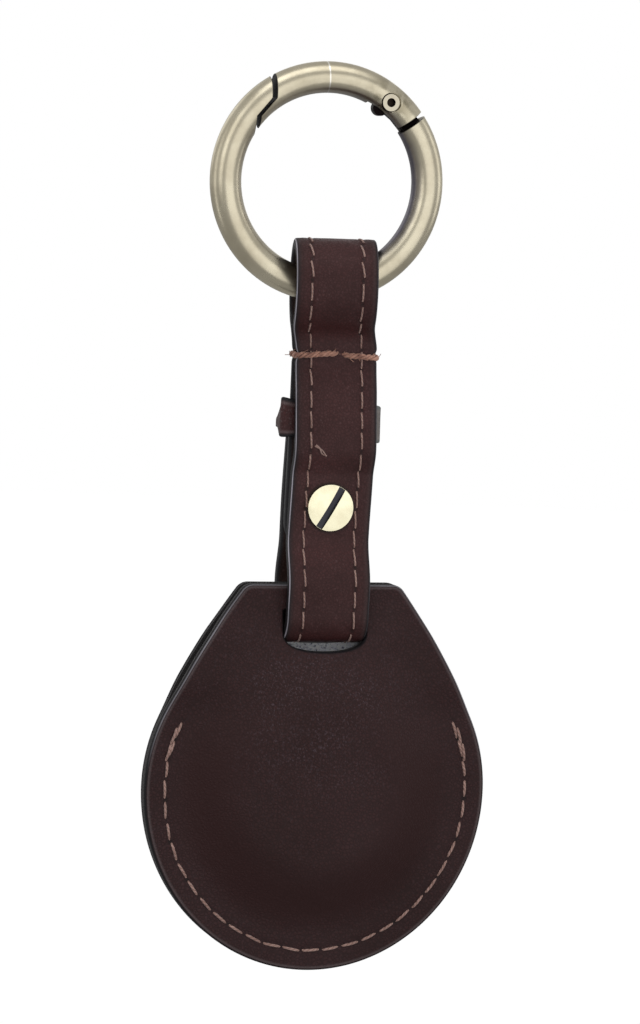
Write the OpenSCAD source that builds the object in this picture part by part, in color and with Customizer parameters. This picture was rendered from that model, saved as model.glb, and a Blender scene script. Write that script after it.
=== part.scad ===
// Holder for a round tracker tag: a domed leather pouch on a doubled leather strap, clamped
// by a slotted screw and hung from a ring with a spring gate.
// The origin is the centre of the ring's eye, Z is up and the viewer looks along +Y.

/* [Gate ring] */
// Bore of the eye
eye_d = 24.6; // [22:0.1:32]
// Thickness of the ring's wire
wire_d = 4.4; // [3.8:0.1:5]
// Angle of the gap between the gate's tail and the ring, from the right towards the top
hinge_angle = 36.4; // [33:0.2:38.6]
// Width of that gap
hinge_gap = 0.75; // [0.6:0.05:1]
// Angle of the hinge pin
pin_angle = 53.3; // [51:0.1:55]
// Angle of the outer corner of the latch
latch_angle = 126.4; // [120:0.2:129]
// Width of the latch gap
latch_gap = 0.68; // [0.5:0.02:0.8]
// Sideways reach of the gate's nose past the latch corner
nose_reach = 2.1; // [1.4:0.1:2.6]
// Drop of the nose over that reach
nose_drop = 2.55; // [1.8:0.05:2.8]

/* [Gate hinge] */
// Distance of the pin and the latch corner inside the wire's centre line
pin_inset = 0.48; // [0.2:0.02:0.6]
// Diameter of the pin's shaft
pin_d = 1.6; // [1.2:0.1:1.8]
// Diameter of the pin's head
pin_head_d = 2.4; // [2:0.1:2.5]
// Thickness of the pin's head
pin_head_t = 0.3; // [0.2:0.05:0.4]
// Diameter of the hollow in the pin's head
pin_hollow_d = 1.24; // [0.8:0.04:1.4]
// Depth of that hollow
pin_hollow_depth = 1; // [0.5:0.1:1.5]
// Thickness of the ring's tongue between the cheeks of the gate
tongue_t = 1.3; // [1:0.1:1.5]
// Radius of the tongue's knuckle round the pin
knuckle_r = 1.5; // [1.3:0.05:1.6]
// Radius of the knuckle's lobe, which stands proud inside the eye
lobe_r = 1.1; // [0.8:0.05:1.2]
// Wire of the torsion spring beside the tongue
spring_wire = 0.32; // [0.24:0.04:0.4]

/* [Strap] */
// Width of the strap
strap_w = 11.7; // [10:0.1:14]
// Thickness of the strap's outer leather
strap_leather_t = 1.1; // [0.9:0.1:1.4]
// Thickness of the strap's lining leather
strap_lining_t = 0.7; // [0.5:0.1:1]
// Air between two layers of the strap that lie together
layer_gap = 0.1; // [0.06:0.02:0.16]
// Distance by which the strap sits aside on the curved wire
strap_aside = 1.5; // [0:0.1:1.8]
// Room between the strap's loop and the curved wire
loop_clear = 0.2; // [0.2:0.05:1]
// Depth below the wire's centre where the two sides of the loop run together
loop_close = 8.3; // [7.5:0.1:8.6]
// Depth of the thick tie stitch
tie_depth = 9.6; // [9.2:0.1:9.8]
// Depth of the keeper's centre
keeper_depth = 18.9; // [18.3:0.1:19.5]
// Depth of the clamp screw
screw_depth = 30.9; // [30:0.1:32]
// Length of the inner end past the screw
inner_end = 7.8; // [6:0.2:8.4]
// Length of the back end above the keeper's centre
back_end = 4.8; // [4.2:0.2:5.4]

/* [Tie stitch and keeper] */
// Thickness of the tie stitch's thread
tie_d = 0.8; // [0.6:0.05:0.9]
// Sideways place where its two loops meet
tie_split = 0.5; // [0:0.1:2]
// Height of the keeper
keeper_h = 5.2; // [4.6:0.2:5.6]
// Thickness of the keeper's leather
keeper_t = 1; // [0.8:0.05:1.2]
// Room between the keeper and the layers that it holds
keeper_clear = 0.15; // [0.1:0.05:0.25]
// Room beside the strap's edges in the keeper
keeper_side = 0.3; // [0.2:0.05:0.5]
// Travel of the keeper up and down
keeper_travel = 1; // [0.6:0.1:1.2]

/* [Clamp screw] */
// Diameter of the screw's head
head_d = 6.5; // [5.5:0.1:7]
// Height of the head at its middle
head_h = 1; // [0.8:0.05:1.3]
// Height of the head at its rim
head_rim = 0.6; // [0.4:0.05:0.7]
// Width of the slot in the head
slot_w = 1; // [0.6:0.02:1.2]
// Depth of that slot
slot_depth = 0.6; // [0.4:0.05:0.7]
// Angle of that slot from level
slot_angle = 60; // [0:5:175]
// Diameter of the screw's shank
shank_d = 2.5; // [2:0.1:2.6]
// Outer diameter of the threaded post
post_d = 3.8; // [3.4:0.1:4.2]
// Diameter of the post's foot on the back layer
foot_d = 7; // [6:0.1:8]
// Thickness of the post's foot
foot_t = 0.9; // [0.7:0.05:1.2]

/* [Pouch] */
// Radius of the pouch's round
pouch_r = 24.6; // [22:0.1:27]
// Reach of the round straight down from its centre
pouch_sole = 25.7; // [23:0.1:28]
// Radius of the long curve of each shoulder
shoulder_r = 105; // [70:5:140]
// Angle on the round where the shoulder starts
shoulder_angle = 25; // [18:1:28]
// Depth of the pouch's top edge below the wire's centre
pouch_depth = 41.8; // [41.3:0.1:43.3]
// Height of the top edge above the centre of the round
pouch_rise = 29.1; // [28:0.1:31]
// Distance by which the round hangs aside from the strap's middle
pouch_aside = 0.3; // [0:0.1:0.6]
// Corner radius at the ends of the top edge
corner_r = 2; // [1:0.25:3]
// Thickness of the pouch's leather
pouch_leather_t = 1; // [0.8:0.1:1.3]
// Thickness of the pouch's suede lining
pouch_lining_t = 0.6; // [0.4:0.1:0.9]
// Half of the pocket's depth at the flat of the dome
dome_h = 4.1; // [3.5:0.1:5]
// Radius of the flat of the dome
dome_flat_r = 9.5; // [9.2:0.1:12]
// Radius where the dome meets the seam
dome_foot_r = 20.4; // [19:0.2:20.8]
// Height above the centre of the round where the seam ends
seam_rise = 10; // [8:0.5:12]
// Half of the open mouth at the sides
mouth_half = 1; // [0.8:0.1:1.4]
// Half of the gap between the top strips inside the strap
strip_half = 0.6; // [0.4:0.05:0.8]

/* [Strap slots] */
// Height of the strip of leather above each slot
strip_h = 3.6; // [3:0.1:3.8]
// Height of the front slot at its middle
slot_h = 5.8; // [5.6:0.1:7]
// Height of the back slot, which ends close under the strap
back_slot_h = 5; // [4.9:0.1:6]
// Sag of the front slot's lower lip
lip_sag = 1.2; // [0.5:0.1:1.5]
// Sag of the back slot's lower lip
back_lip_sag = 0.3; // [0.1:0.1:0.5]
// Room beside the strap in a slot
slot_side = 0.3; // [0.2:0.05:0.6]
// Room between the strap's turn and the strips
turn_clear = 0.3; // [0.25:0.05:0.5]
// Further room at the pouch's top edge, for its swing
swing_clear = 0.3; // [0.25:0.05:0.5]

/* [Hidden] */

brass = "#b8a986";
dark_brass = "#6b5f48";
pale_gold = "#dcd2a4";
strap_brown = "#3c2624";
pouch_brown = "#302222";
lining_brown = "#4a342d";
suede_grey = "#8e9094";
thread_tan = "#96644f";

// Overrun of every cut
over = 1;

// Ring
wire_r = wire_d / 2;
ring_r = (eye_d + wire_d) / 2;
ring_far = ring_r + wire_d;
hinge_half = asin(hinge_gap / 2 / ring_r);
latch_lift_share = 0.3;
latch_corner = (ring_r - pin_inset) * [cos(latch_angle), sin(latch_angle)];
latch_shift = latch_gap / 2 * [1, latch_lift_share];

// Hinge
pin_at = (ring_r - pin_inset) * [cos(pin_angle), sin(pin_angle)];
pin_r = pin_d / 2;
// Running clearance round the pin, the post and the shank
fit = 0.08;
tongue_clear = 0.2;
tail_len = ring_r * sin(pin_angle - hinge_angle);
tongue_root = 1;
tongue_out = 0.85;
tongue_in = 1.6;
lobe_in = 1.3;
lobe_side = 0.45;
// The slot's side by the lobe, clear of the lobe's swing
slot_lobe_side = 2.5;
slot_lobe_in = 1.2;
// Flats that the pin's two ends sit in
cheek_y = sqrt(wire_r * wire_r - pin_inset * pin_inset);
spot_depth = 0.45;
spot_room = 0.2;
pin_back_inset = 0.1;
spring_turns = 2;
spring_gap = 0.1;
spring_y = tongue_t / 2 + spring_gap;
spring_len = spring_wire * spring_turns;
spring_in_r = pin_r + fit;
spring_leg_in = 1.95;

// Strap, with its own zero at the centre of the wire under the eye
strap_t = strap_leather_t + strap_lining_t;
pitch = strap_t + layer_gap;
front_y = -pitch / 2;
middle_y = pitch / 2;
back_y = 3 * pitch / 2;
wire_reach = ring_r - sqrt(pow(ring_r - wire_r, 2) - pow(strap_w / 2 + strap_aside, 2));
loop_r = wire_reach + loop_clear + strap_t / 2;
join_r = (pow(middle_y, 2) + pow(loop_close, 2) - pow(loop_r, 2)) / (2 * (loop_r - middle_y));
join_angle = atan2(loop_close, middle_y + join_r);
strap_half = strap_t / 2;
leather_from = strap_half - strap_leather_t;

// Front layer: straight, out over the keeper, back to the screw, out over the pouch
ease_run = 4;
screw_flat = 4.2;
keeper_zone = keeper_h / 2 + keeper_travel;
keeper_front_y = middle_y - strap_half - keeper_clear - keeper_t;
bulge_y = keeper_front_y - keeper_clear - strap_half;

// Turn round the top strips, and the pouch's own plane
pouch_y = middle_y;
panel_t = pouch_leather_t + pouch_lining_t;
strip_out = strip_half + panel_t;
turn_r = strip_out + turn_clear + strap_half;
turn_drop = 0.4;
turn_depth = pouch_depth + strip_h + turn_drop;
top_out = turn_r + swing_clear;
pouch_z = -(pouch_depth + pouch_rise);

front_run = [
    [loop_close, front_y], [tie_depth + tie_d, front_y],
    [keeper_depth - keeper_zone, bulge_y], [keeper_depth + keeper_zone, bulge_y],
    [keeper_depth + keeper_zone + ease_run, front_y], [screw_depth + screw_flat, front_y],
    [pouch_depth, pouch_y - top_out], [turn_depth, pouch_y - turn_r]
];
back_run = [
    [turn_depth, pouch_y + turn_r], [pouch_depth, pouch_y + top_out],
    [screw_depth + screw_flat, back_y], [keeper_depth - back_end, back_y]
];

// Steps of the curves
run_steps = 8;
loop_steps = 30;
join_steps = 6;
turn_steps = 14;
thread_sides = 8;

// Pouch panels: points along half of the outline, and the rings of the dome's grid
round_steps = 14;
shoulder_steps = 6;
corner_steps = 3;
edge_steps = 3;
ring_shares = [0.2, 0.37, 0.49, 0.6, 0.7, 0.8, 0.9, 1];
up_share = 0.85;
mouth_ease = 6.2;
strip_ease = 4;

function ease(s) = let (c = min(max(s, 0), 1)) c * c * (3 - 2 * c);

// [y, z] points of a run of [depth, y] stations, without its last point
function run_points(st) = [
    for (i = [0 : len(st) - 2])
        let (a = st[i], b = st[i + 1], n = a[1] == b[1] ? 1 : run_steps)
            for (j = [0 : n - 1])
                [a[1] + (b[1] - a[1]) * ease(j / n), -(a[0] + (b[0] - a[0]) * j / n)]
];

function arc_points(c, r, from, to, n) = [
    for (i = [0 : n]) let (a = from + (to - from) * i / n) c + r * [cos(a), sin(a)]
];

function without_last(p) = [for (i = [0 : len(p) - 2]) p[i]];

// The strap's centre line from its inner end, over the wire, down the front, through the
// slots and up the back
strap_path = concat(
    [[middle_y, -(screw_depth + inner_end)]],
    without_last(arc_points([middle_y + join_r, -loop_close], join_r, 180,
        180 - join_angle, join_steps)),
    arc_points([0, 0], loop_r, -join_angle, 180 + join_angle, loop_steps),
    [for (i = [1 : join_steps - 1])
        let (a = join_angle * (1 - i / join_steps))
            [-middle_y - join_r, -loop_close] + join_r * [cos(a), sin(a)]],
    run_points(front_run),
    without_last(arc_points([pouch_y, -turn_depth], turn_r, 180, 360, turn_steps)),
    run_points(back_run),
    [[back_y, -(keeper_depth - back_end)]]
);

function unit(v) = v / norm(v);

// The same line moved sideways; the outer leather lies on the positive side
function offset_line(p, d) = [
    for (i = [0 : len(p) - 1])
        let (t = unit(p[min(i + 1, len(p) - 1)] - p[max(i - 1, 0)])) p[i] + d * [t[1], -t[0]]
];

function reversed(p) = [for (i = [len(p) - 1 : -1 : 0]) p[i]];

function band(p, from, to) = concat(offset_line(p, to), reversed(offset_line(p, from)));

// Half of the pouch's outline from the bottom, up the right side, to the middle of the top
shoulder_at = (pouch_r - shoulder_r) * [cos(shoulder_angle), sin(shoulder_angle)];
corner_at = [
    shoulder_at[0] + sqrt(pow(shoulder_r - corner_r, 2)
        - pow(pouch_rise - corner_r - shoulder_at[1], 2)),
    pouch_rise - corner_r
];
corner_angle = atan2(corner_at[1] - shoulder_at[1], corner_at[0] - shoulder_at[0]);

// The lower half of the round reaches down to its own radius
function round_point(p) = [p[0], p[1] < 0 ? p[1] * pouch_sole / pouch_r : p[1]];

right_side = concat(
    [for (p = without_last(arc_points([0, 0], pouch_r, -90, shoulder_angle, round_steps)))
        round_point(p)],
    without_last(arc_points(shoulder_at, shoulder_r, shoulder_angle, corner_angle,
        shoulder_steps)),
    arc_points(corner_at, corner_r, corner_angle, 90, corner_steps),
    [for (i = [1 : edge_steps - 1]) [corner_at[0] * (1 - i / edge_steps), pouch_rise]]
);
outline = concat(
    right_side, [[0, pouch_rise]],
    [for (i = [len(right_side) - 1 : -1 : 1]) [-right_side[i][0], right_side[i][1]]]
);

// Half of the pocket's depth at a point of the panel
function half_gap(p) =
    let (
        r = norm([p[0], p[1] > 0 ? p[1] * up_share : p[1] * pouch_r / pouch_sole]),
        dome = ease((dome_foot_r - r) / (dome_foot_r - dome_flat_r)),
        strip_at = pouch_rise - strip_h,
        edge = mouth_half * ease((p[1] - seam_rise) / mouth_ease)
            - (mouth_half - strip_half) * ease((p[1] - strip_at + strip_ease) / strip_ease)
    )
    edge + (dome_h - edge) * dome;

module slab(from, to) {
    translate([0, to, 0]) rotate([90, 0, 0]) linear_extrude(to - from) children();
}

module at_strap() {
    translate([strap_aside, 0, -ring_r]) children();
}

module at_pouch() {
    translate([strap_aside - pouch_aside, pouch_y, pouch_z - ring_r]) children();
}

module torus() {
    rotate([90, 0, 0]) rotate_extrude($fn = 120) translate([ring_r, 0]) circle(wire_r, $fn = 48);
}

// The eye's sector that the gate fills, grown by the gap on the ring's side
module gate_sector(side) {
    corner = latch_corner + side * latch_shift;
    nose = corner - [nose_reach, nose_drop];
    edge = hinge_angle + side * hinge_half;
    polygon([
        [0, 0], 2 * ring_far * [cos(edge), sin(edge)], [ring_far, 2 * ring_far],
        [corner[0], 2 * ring_far], corner, nose, [nose[0], 0]
    ]);
}

module at_pin() {
    translate(pin_at) rotate(pin_angle) children();
}

module tongue_shape() {
    root = tail_len + tongue_root;
    at_pin() {
        circle(knuckle_r, $fn = 48);
        translate([-lobe_in, lobe_side]) circle(lobe_r, $fn = 40);
        polygon([[knuckle_r, 0], [tongue_out, -root], [-tongue_in, -root], [-knuckle_r, 0]]);
    }
}

module hinge_slot_shape() {
    room = knuckle_r + tongue_clear;
    at_pin() {
        circle(room, $fn = 48);
        polygon([
            [room, 0], [tongue_out + tongue_clear, -tail_len], [tongue_out, -ring_r],
            [-ring_r, -ring_r], [-ring_r, slot_lobe_side], [-slot_lobe_in, slot_lobe_side],
            [0, room]
        ]);
    }
}

module pin_bore(r) {
    translate([pin_at[0], 0, pin_at[1]]) rotate([90, 0, 0])
        cylinder(h = 2 * ring_far, r = r, center = true, $fn = 48);
}

module ring_body() {
    color(brass) difference() {
        union() {
            difference() {
                torus();
                slab(-ring_far, ring_far) gate_sector(-1);
            }
            slab(-tongue_t / 2, tongue_t / 2) tongue_shape();
        }
        pin_bore(pin_r);
    }
}

module ring_gate() {
    color(brass) difference() {
        intersection() {
            torus();
            slab(-ring_far, ring_far) gate_sector(1);
        }
        slab(-tongue_t / 2 - tongue_clear, spring_y + spring_len + spring_gap) hinge_slot_shape();
        pin_bore(pin_r + fit);
        translate([pin_at[0], -cheek_y + spot_depth, pin_at[1]]) rotate([90, 0, 0])
            cylinder(h = over, r = pin_head_d / 2 + spot_room, $fn = 48);
    }
}

module gate_pin() {
    head_y = -cheek_y + spot_depth - fit / 2;
    color(dark_brass) translate([pin_at[0], 0, pin_at[1]]) difference() {
        union() {
            slab(head_y, cheek_y - pin_back_inset) circle(pin_r, $fn = 48);
            slab(head_y - pin_head_t, head_y) circle(pin_head_d / 2, $fn = 48);
        }
        slab(head_y - pin_head_t - over, head_y - pin_head_t + pin_hollow_depth)
            circle(pin_hollow_d / 2, $fn = 32);
    }
}

// The wound part of the spring round the pin, and its leg to the ring's end
module gate_spring() {
    leg_at = spring_in_r + spring_wire / 2;
    color(dark_brass) union() {
        slab(spring_y, spring_y + spring_len) at_pin() difference() {
            circle(spring_in_r + spring_wire, $fn = 48);
            circle(spring_in_r, $fn = 48);
        }
        slab(spring_y, spring_y + spring_wire) at_pin() polygon([
            [-leg_at, 0], [-spring_leg_in, -tail_len], [-spring_leg_in, -tail_len - spring_wire],
            [-spring_leg_in + spring_wire, -tail_len - spring_wire],
            [-leg_at + spring_wire, 0]
        ]);
    }
}

// Everything past a round end: to the top with sign 1, to the bottom with sign -1
module end_trim(from, to, z, sign) {
    translate([0, 0, z]) slab(from, to) scale([1, sign]) difference() {
        translate([-strap_w, -strap_w / 2]) square([2 * strap_w, strap_w]);
        translate([-strap_w, -strap_w]) square([2 * strap_w, strap_w / 2]);
        translate([0, -strap_w / 2]) circle(strap_w / 2, $fn = 64);
    }
}

module strap_ply(from, to) {
    post_room = post_d / 2 + fit;
    at_strap() difference() {
        rotate([90, 0, 90]) linear_extrude(strap_w, center = true)
            polygon(band(strap_path, from, to));
        end_trim(0, middle_y + pitch / 2, -(screw_depth + inner_end), -1);
        end_trim(back_y - pitch / 2, back_y + pitch, -(keeper_depth - back_end), 1);
        translate([0, 0, -screw_depth]) slab(-strap_w, strap_w) circle(post_room, $fn = 64);
    }
}

module strap_outer() {
    color(strap_brown) strap_ply(leather_from, strap_half);
}

module strap_lining() {
    color(lining_brown) strap_ply(-strap_half, leather_from);
}

// A closed round thread along a rounded box in the plane of the strap's cross-section
module thread_loop(from, to, half) {
    r = tie_d / 2;
    turn = tie_d;
    n = 4;
    path = concat(
        arc_points([to - turn, half - turn], turn, 0, 90, n),
        arc_points([from + turn, half - turn], turn, 90, 180, n),
        arc_points([from + turn, turn - half], turn, 180, 270, n),
        arc_points([to - turn, turn - half], turn, 270, 360, n)
    );
    m = len(path);
    points = [
        for (i = [0 : m - 1])
            let (t = unit(path[(i + 1) % m] - path[(i + m - 1) % m]))
                for (j = [0 : thread_sides - 1])
                    let (a = 360 * j / thread_sides, s = r * cos(a))
                        [path[i][0] + s * t[1], path[i][1] - s * t[0], r * sin(a)]
    ];
    faces = [
        for (i = [0 : m - 1], j = [0 : thread_sides - 1])
            let (
                k = (i + 1) % m, l = (j + 1) % thread_sides,
                a = i * thread_sides + j, b = i * thread_sides + l,
                c = k * thread_sides + l, d = k * thread_sides + j
            )
            each [[a, b, c], [a, c, d]]
    ];
    polyhedron(points, faces);
}

module tie_stitch() {
    side = strap_w / 2 + tie_d / 2;
    half = pitch / 2 + strap_half + tie_d / 2;
    color(thread_tan) at_strap() translate([0, 0, -tie_depth]) {
        thread_loop(-side, tie_split - tie_d / 2 - fit, half);
        thread_loop(tie_split + tie_d / 2 + fit, side, half);
    }
}

module rounded_box(x, from, to, r) {
    polygon(concat(
        arc_points([x - r, to - r], r, 0, 90, 8), arc_points([r - x, to - r], r, 90, 180, 8),
        arc_points([r - x, from + r], r, 180, 270, 8), arc_points([x - r, from + r], r, 270, 360, 8)
    ));
}

module keeper_loop() {
    x = strap_w / 2 + keeper_side;
    from = middle_y - strap_half - keeper_clear;
    to = back_y + strap_half + keeper_clear;
    color(strap_brown) at_strap() translate([0, 0, -keeper_depth])
        linear_extrude(keeper_h, center = true) difference() {
            rounded_box(x + keeper_t, from - keeper_t, to + keeper_t, keeper_t + keeper_side);
            rounded_box(x, from, to, keeper_side);
        }
}

// Places along Y of the clamp: the faces that its head and foot press on
clamp_front = front_y - strap_half;
clamp_back = back_y + strap_half;
bore_r = shank_d / 2 + fit;
post_short = 0.55;
bore_floor = 0.35;
shank_end = 0.4;

module clamp_screw() {
    chamfer = 0.2;
    color(pale_gold) at_strap() translate([0, clamp_front, -screw_depth]) difference() {
        rotate([90, 0, 0]) rotate_extrude($fn = 96) polygon(concat(
            [[0, bore_floor + shank_end - (clamp_back - clamp_front)],
                [shank_d / 2 - chamfer, bore_floor + shank_end - (clamp_back - clamp_front)],
                [shank_d / 2, bore_floor + shank_end + chamfer - (clamp_back - clamp_front)],
                [shank_d / 2, 0], [head_d / 2, 0]],
            [for (i = [0 : 8]) let (s = 1 - i / 8)
                [head_d / 2 * s, head_rim + (head_h - head_rim) * (1 - s * s)]]
        ));
        translate([0, -head_h, 0]) rotate([0, -slot_angle, 0])
            cube([2 * head_d, 2 * slot_depth, slot_w], center = true);
    }
}

module screw_post() {
    rim = 0.25;
    color(pale_gold) at_strap() translate([0, clamp_back, -screw_depth])
        rotate([-90, 0, 0]) difference() {
            rotate_extrude($fn = 96) polygon([
                [0, foot_t], [foot_d / 2 - rim, foot_t], [foot_d / 2, foot_t - rim],
                [foot_d / 2, 0], [post_d / 2, 0],
                [post_d / 2, clamp_front - clamp_back + post_short],
                [0, clamp_front - clamp_back + post_short]
            ]);
            translate([0, 0, clamp_front - clamp_back])
                cylinder(h = clamp_back - clamp_front - bore_floor, r = bore_r, $fn = 64);
        }
}

// The strap's slot: level at its top, sagging along its lower lip
module strap_slot_shape(height, sag) {
    half = strap_w / 2 + slot_side;
    top = pouch_rise - strip_h;
    low = top - height;
    r = slot_side + slot_side;
    lip_r = (half * half + sag * sag) / (2 * sag);
    lip_angle = asin(half / lip_r);
    translate([pouch_aside, 0]) polygon(concat(
        arc_points([half - r, top - r], r, 0, 90, 5), arc_points([r - half, top - r], r, 90, 180, 5),
        arc_points([0, low + lip_r], lip_r, 270 - lip_angle, 270 + lip_angle, 12)
    ));
}

// One layer of the front panel between two heights above the pocket's wall, with its slot
module panel_ply(from, to, height, sag) {
    n = len(outline);
    k = len(ring_shares);
    centre_z = 0;
    flat = [
        [0, centre_z], for (s = ring_shares, p = outline) s * p
    ];
    count = len(flat);
    points = [
        for (h = [from, to], p = flat) [p[0], -half_gap(p) - h, p[1]]
    ];
    fan = [for (i = [0 : n - 1]) [0, 1 + (i + 1) % n, 1 + i]];
    rows = [
        for (j = [0 : k - 2], i = [0 : n - 1])
            let (
                a = 1 + j * n + i, b = 1 + j * n + (i + 1) % n,
                c = a + n, d = b + n
            )
            each [[a, b, d], [a, d, c]]
    ];
    skin = concat(fan, rows);
    rim = [
        for (i = [0 : n - 1])
            let (a = count - n + i, b = count - n + (i + 1) % n)
            each [[a, b, b + count], [a, b + count, a + count]]
    ];
    difference() {
        polyhedron(points, concat(
            [for (f = skin) [f[0], f[2], f[1]]],
            [for (f = skin) [f[0] + count, f[1] + count, f[2] + count]],
            rim
        ));
        slab(-strap_w, strap_w) strap_slot_shape(height, sag);
    }
}

module front_leather() {
    color(pouch_brown) at_pouch() panel_ply(pouch_lining_t, panel_t, slot_h, lip_sag);
}

module front_lining() {
    color(suede_grey) at_pouch() panel_ply(0, pouch_lining_t, slot_h, lip_sag);
}

module back_leather() {
    color(pouch_brown) at_pouch() mirror([0, 1, 0])
        panel_ply(pouch_lining_t, panel_t, back_slot_h, back_lip_sag);
}

module back_lining() {
    color(suede_grey) at_pouch() mirror([0, 1, 0])
        panel_ply(0, pouch_lining_t, back_slot_h, back_lip_sag);
}

ring_body();
ring_gate();
gate_pin();
gate_spring();
strap_outer();
strap_lining();
tie_stitch();
keeper_loop();
clamp_screw();
screw_post();
front_leather();
front_lining();
back_leather();
back_lining();
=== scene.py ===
import math
import random

import bpy
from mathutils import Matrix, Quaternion, Vector, noise
from mathutils.geometry import delaunay_2d_cdt


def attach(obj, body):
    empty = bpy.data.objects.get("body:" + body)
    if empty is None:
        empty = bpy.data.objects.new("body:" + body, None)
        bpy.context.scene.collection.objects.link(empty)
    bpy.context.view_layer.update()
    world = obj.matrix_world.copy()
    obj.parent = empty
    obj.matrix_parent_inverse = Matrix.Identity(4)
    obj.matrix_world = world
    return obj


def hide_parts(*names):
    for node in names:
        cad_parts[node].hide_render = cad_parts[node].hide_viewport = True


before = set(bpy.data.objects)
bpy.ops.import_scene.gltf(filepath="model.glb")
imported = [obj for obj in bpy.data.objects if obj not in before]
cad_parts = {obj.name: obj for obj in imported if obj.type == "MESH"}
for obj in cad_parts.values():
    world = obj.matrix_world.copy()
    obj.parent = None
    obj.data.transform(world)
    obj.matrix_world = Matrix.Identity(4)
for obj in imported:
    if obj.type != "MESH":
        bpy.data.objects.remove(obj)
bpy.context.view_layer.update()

mm = 0.001
scene = bpy.context.scene
print("frame loaded")

# camera: a long lens, a little to the left of the front and slightly above
shot = {
    "azimuth": -14.7, "elevation": 4.5, "lean": 1.9, "lens": 150.0, "sensor": 36.0,
    "frame": (640, 1024), "pxPerMm": 7.18, "eyeAt": (326.8, 181.6), "clip": (0.01, 10),
}


def addObject(name, data):
    obj = bpy.data.objects.new(name, data)
    scene.collection.objects.link(obj)
    return obj


def placeCamera():
    cam = bpy.data.cameras.new("photoCamera")
    cam.lens, cam.sensor_width = shot["lens"], shot["sensor"]
    cam.clip_start, cam.clip_end = shot["clip"]
    obj = addObject("photoCamera", cam)
    az, el = math.radians(shot["azimuth"]), math.radians(shot["elevation"])
    back = Vector((math.sin(az) * math.cos(el), -math.cos(az) * math.cos(el), math.sin(el)))
    turn = Quaternion(back, math.radians(shot["lean"]))
    right = turn @ Vector((math.cos(az), math.sin(az), 0))
    up = back.cross(right)
    wide, high = shot["frame"]
    px = mm / shot["pxPerMm"]
    aim = -right * (shot["eyeAt"][0] - wide / 2) * px - up * (high / 2 - shot["eyeAt"][1]) * px
    far = high * px * shot["lens"] / shot["sensor"]
    obj.location = aim + back * far
    obj.rotation_mode = "QUATERNION"
    obj.rotation_quaternion = turn @ (-back).to_track_quat("-Z", "Y")
    scene.camera = obj


placeCamera()


# small helpers for node trees
def feed(tree, socket, value):
    if isinstance(value, bpy.types.NodeSocket):
        tree.links.new(value, socket)
    else:
        socket.default_value = value


def addNode(tree, kind, inputs=None, **settings):
    node = tree.nodes.new(kind)
    for name, value in settings.items():
        setattr(node, name, value)
    for name, value in (inputs or {}).items():
        feed(tree, node.inputs[name], value)
    return node


def sums(tree, how, *values, clamp=False):
    node = addNode(tree, "ShaderNodeMath", operation=how, use_clamp=clamp)
    for socket, value in zip(node.inputs, values):
        feed(tree, socket, value)
    return node.outputs[0]


def remap(tree, value, low, high, toLow=0.0, toHigh=1.0):
    return addNode(tree, "ShaderNodeMapRange", {"Value": value, "From Min": low, "From Max": high,
                                                "To Min": toLow, "To Max": toHigh}).outputs[0]


def ramp(tree, value, ends, toLow=0.0, toHigh=1.0):
    # remaps a value in metres between two ends in mm
    return remap(tree, value, ends[0] * mm, ends[1] * mm, toLow, toHigh)


def mixColour(tree, share, a, b):
    return addNode(tree, "ShaderNodeMix", {0: share, 6: a, 7: b}, data_type="RGBA").outputs[2]


def noiseNode(tree, where, scale, detail=2.0, rough=0.5, distort=0.0):
    return addNode(tree, "ShaderNodeTexNoise", {
        "Vector": where, "Scale": scale, "Detail": detail, "Roughness": rough,
        "Distortion": distort})


def newTree(name, treeKind, ins, outs):
    tree = bpy.data.node_groups.new(name, treeKind)
    for label, kind, default in ins:
        socket = tree.interface.new_socket(label, in_out="INPUT", socket_type="NodeSocket" + kind)
        if default is not None:
            socket.default_value = default
    for label, kind in outs:
        tree.interface.new_socket(label, in_out="OUTPUT", socket_type="NodeSocket" + kind)
    return tree, tree.nodes.new("NodeGroupInput"), tree.nodes.new("NodeGroupOutput")


def useGroup(tree, group, inputs):
    return addNode(tree, "ShaderNodeGroup", inputs, node_tree=group)


# effects that several finishes share; lengths are in metres and scales per metre
grainPlan = {
    "warpScale": 900.0, "warp": 0.0004, "domeEdge": 0.28, "fineScale": 4200.0, "fine": 0.35,
    "creaseEdge": 0.06, "fleckStretch": 0.72, "fleckSoft": 0.17,
    "patchScale": 210.0, "patchFrom": 0.36, "patchTo": 0.62, "patchLeast": 0.45,
}


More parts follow.
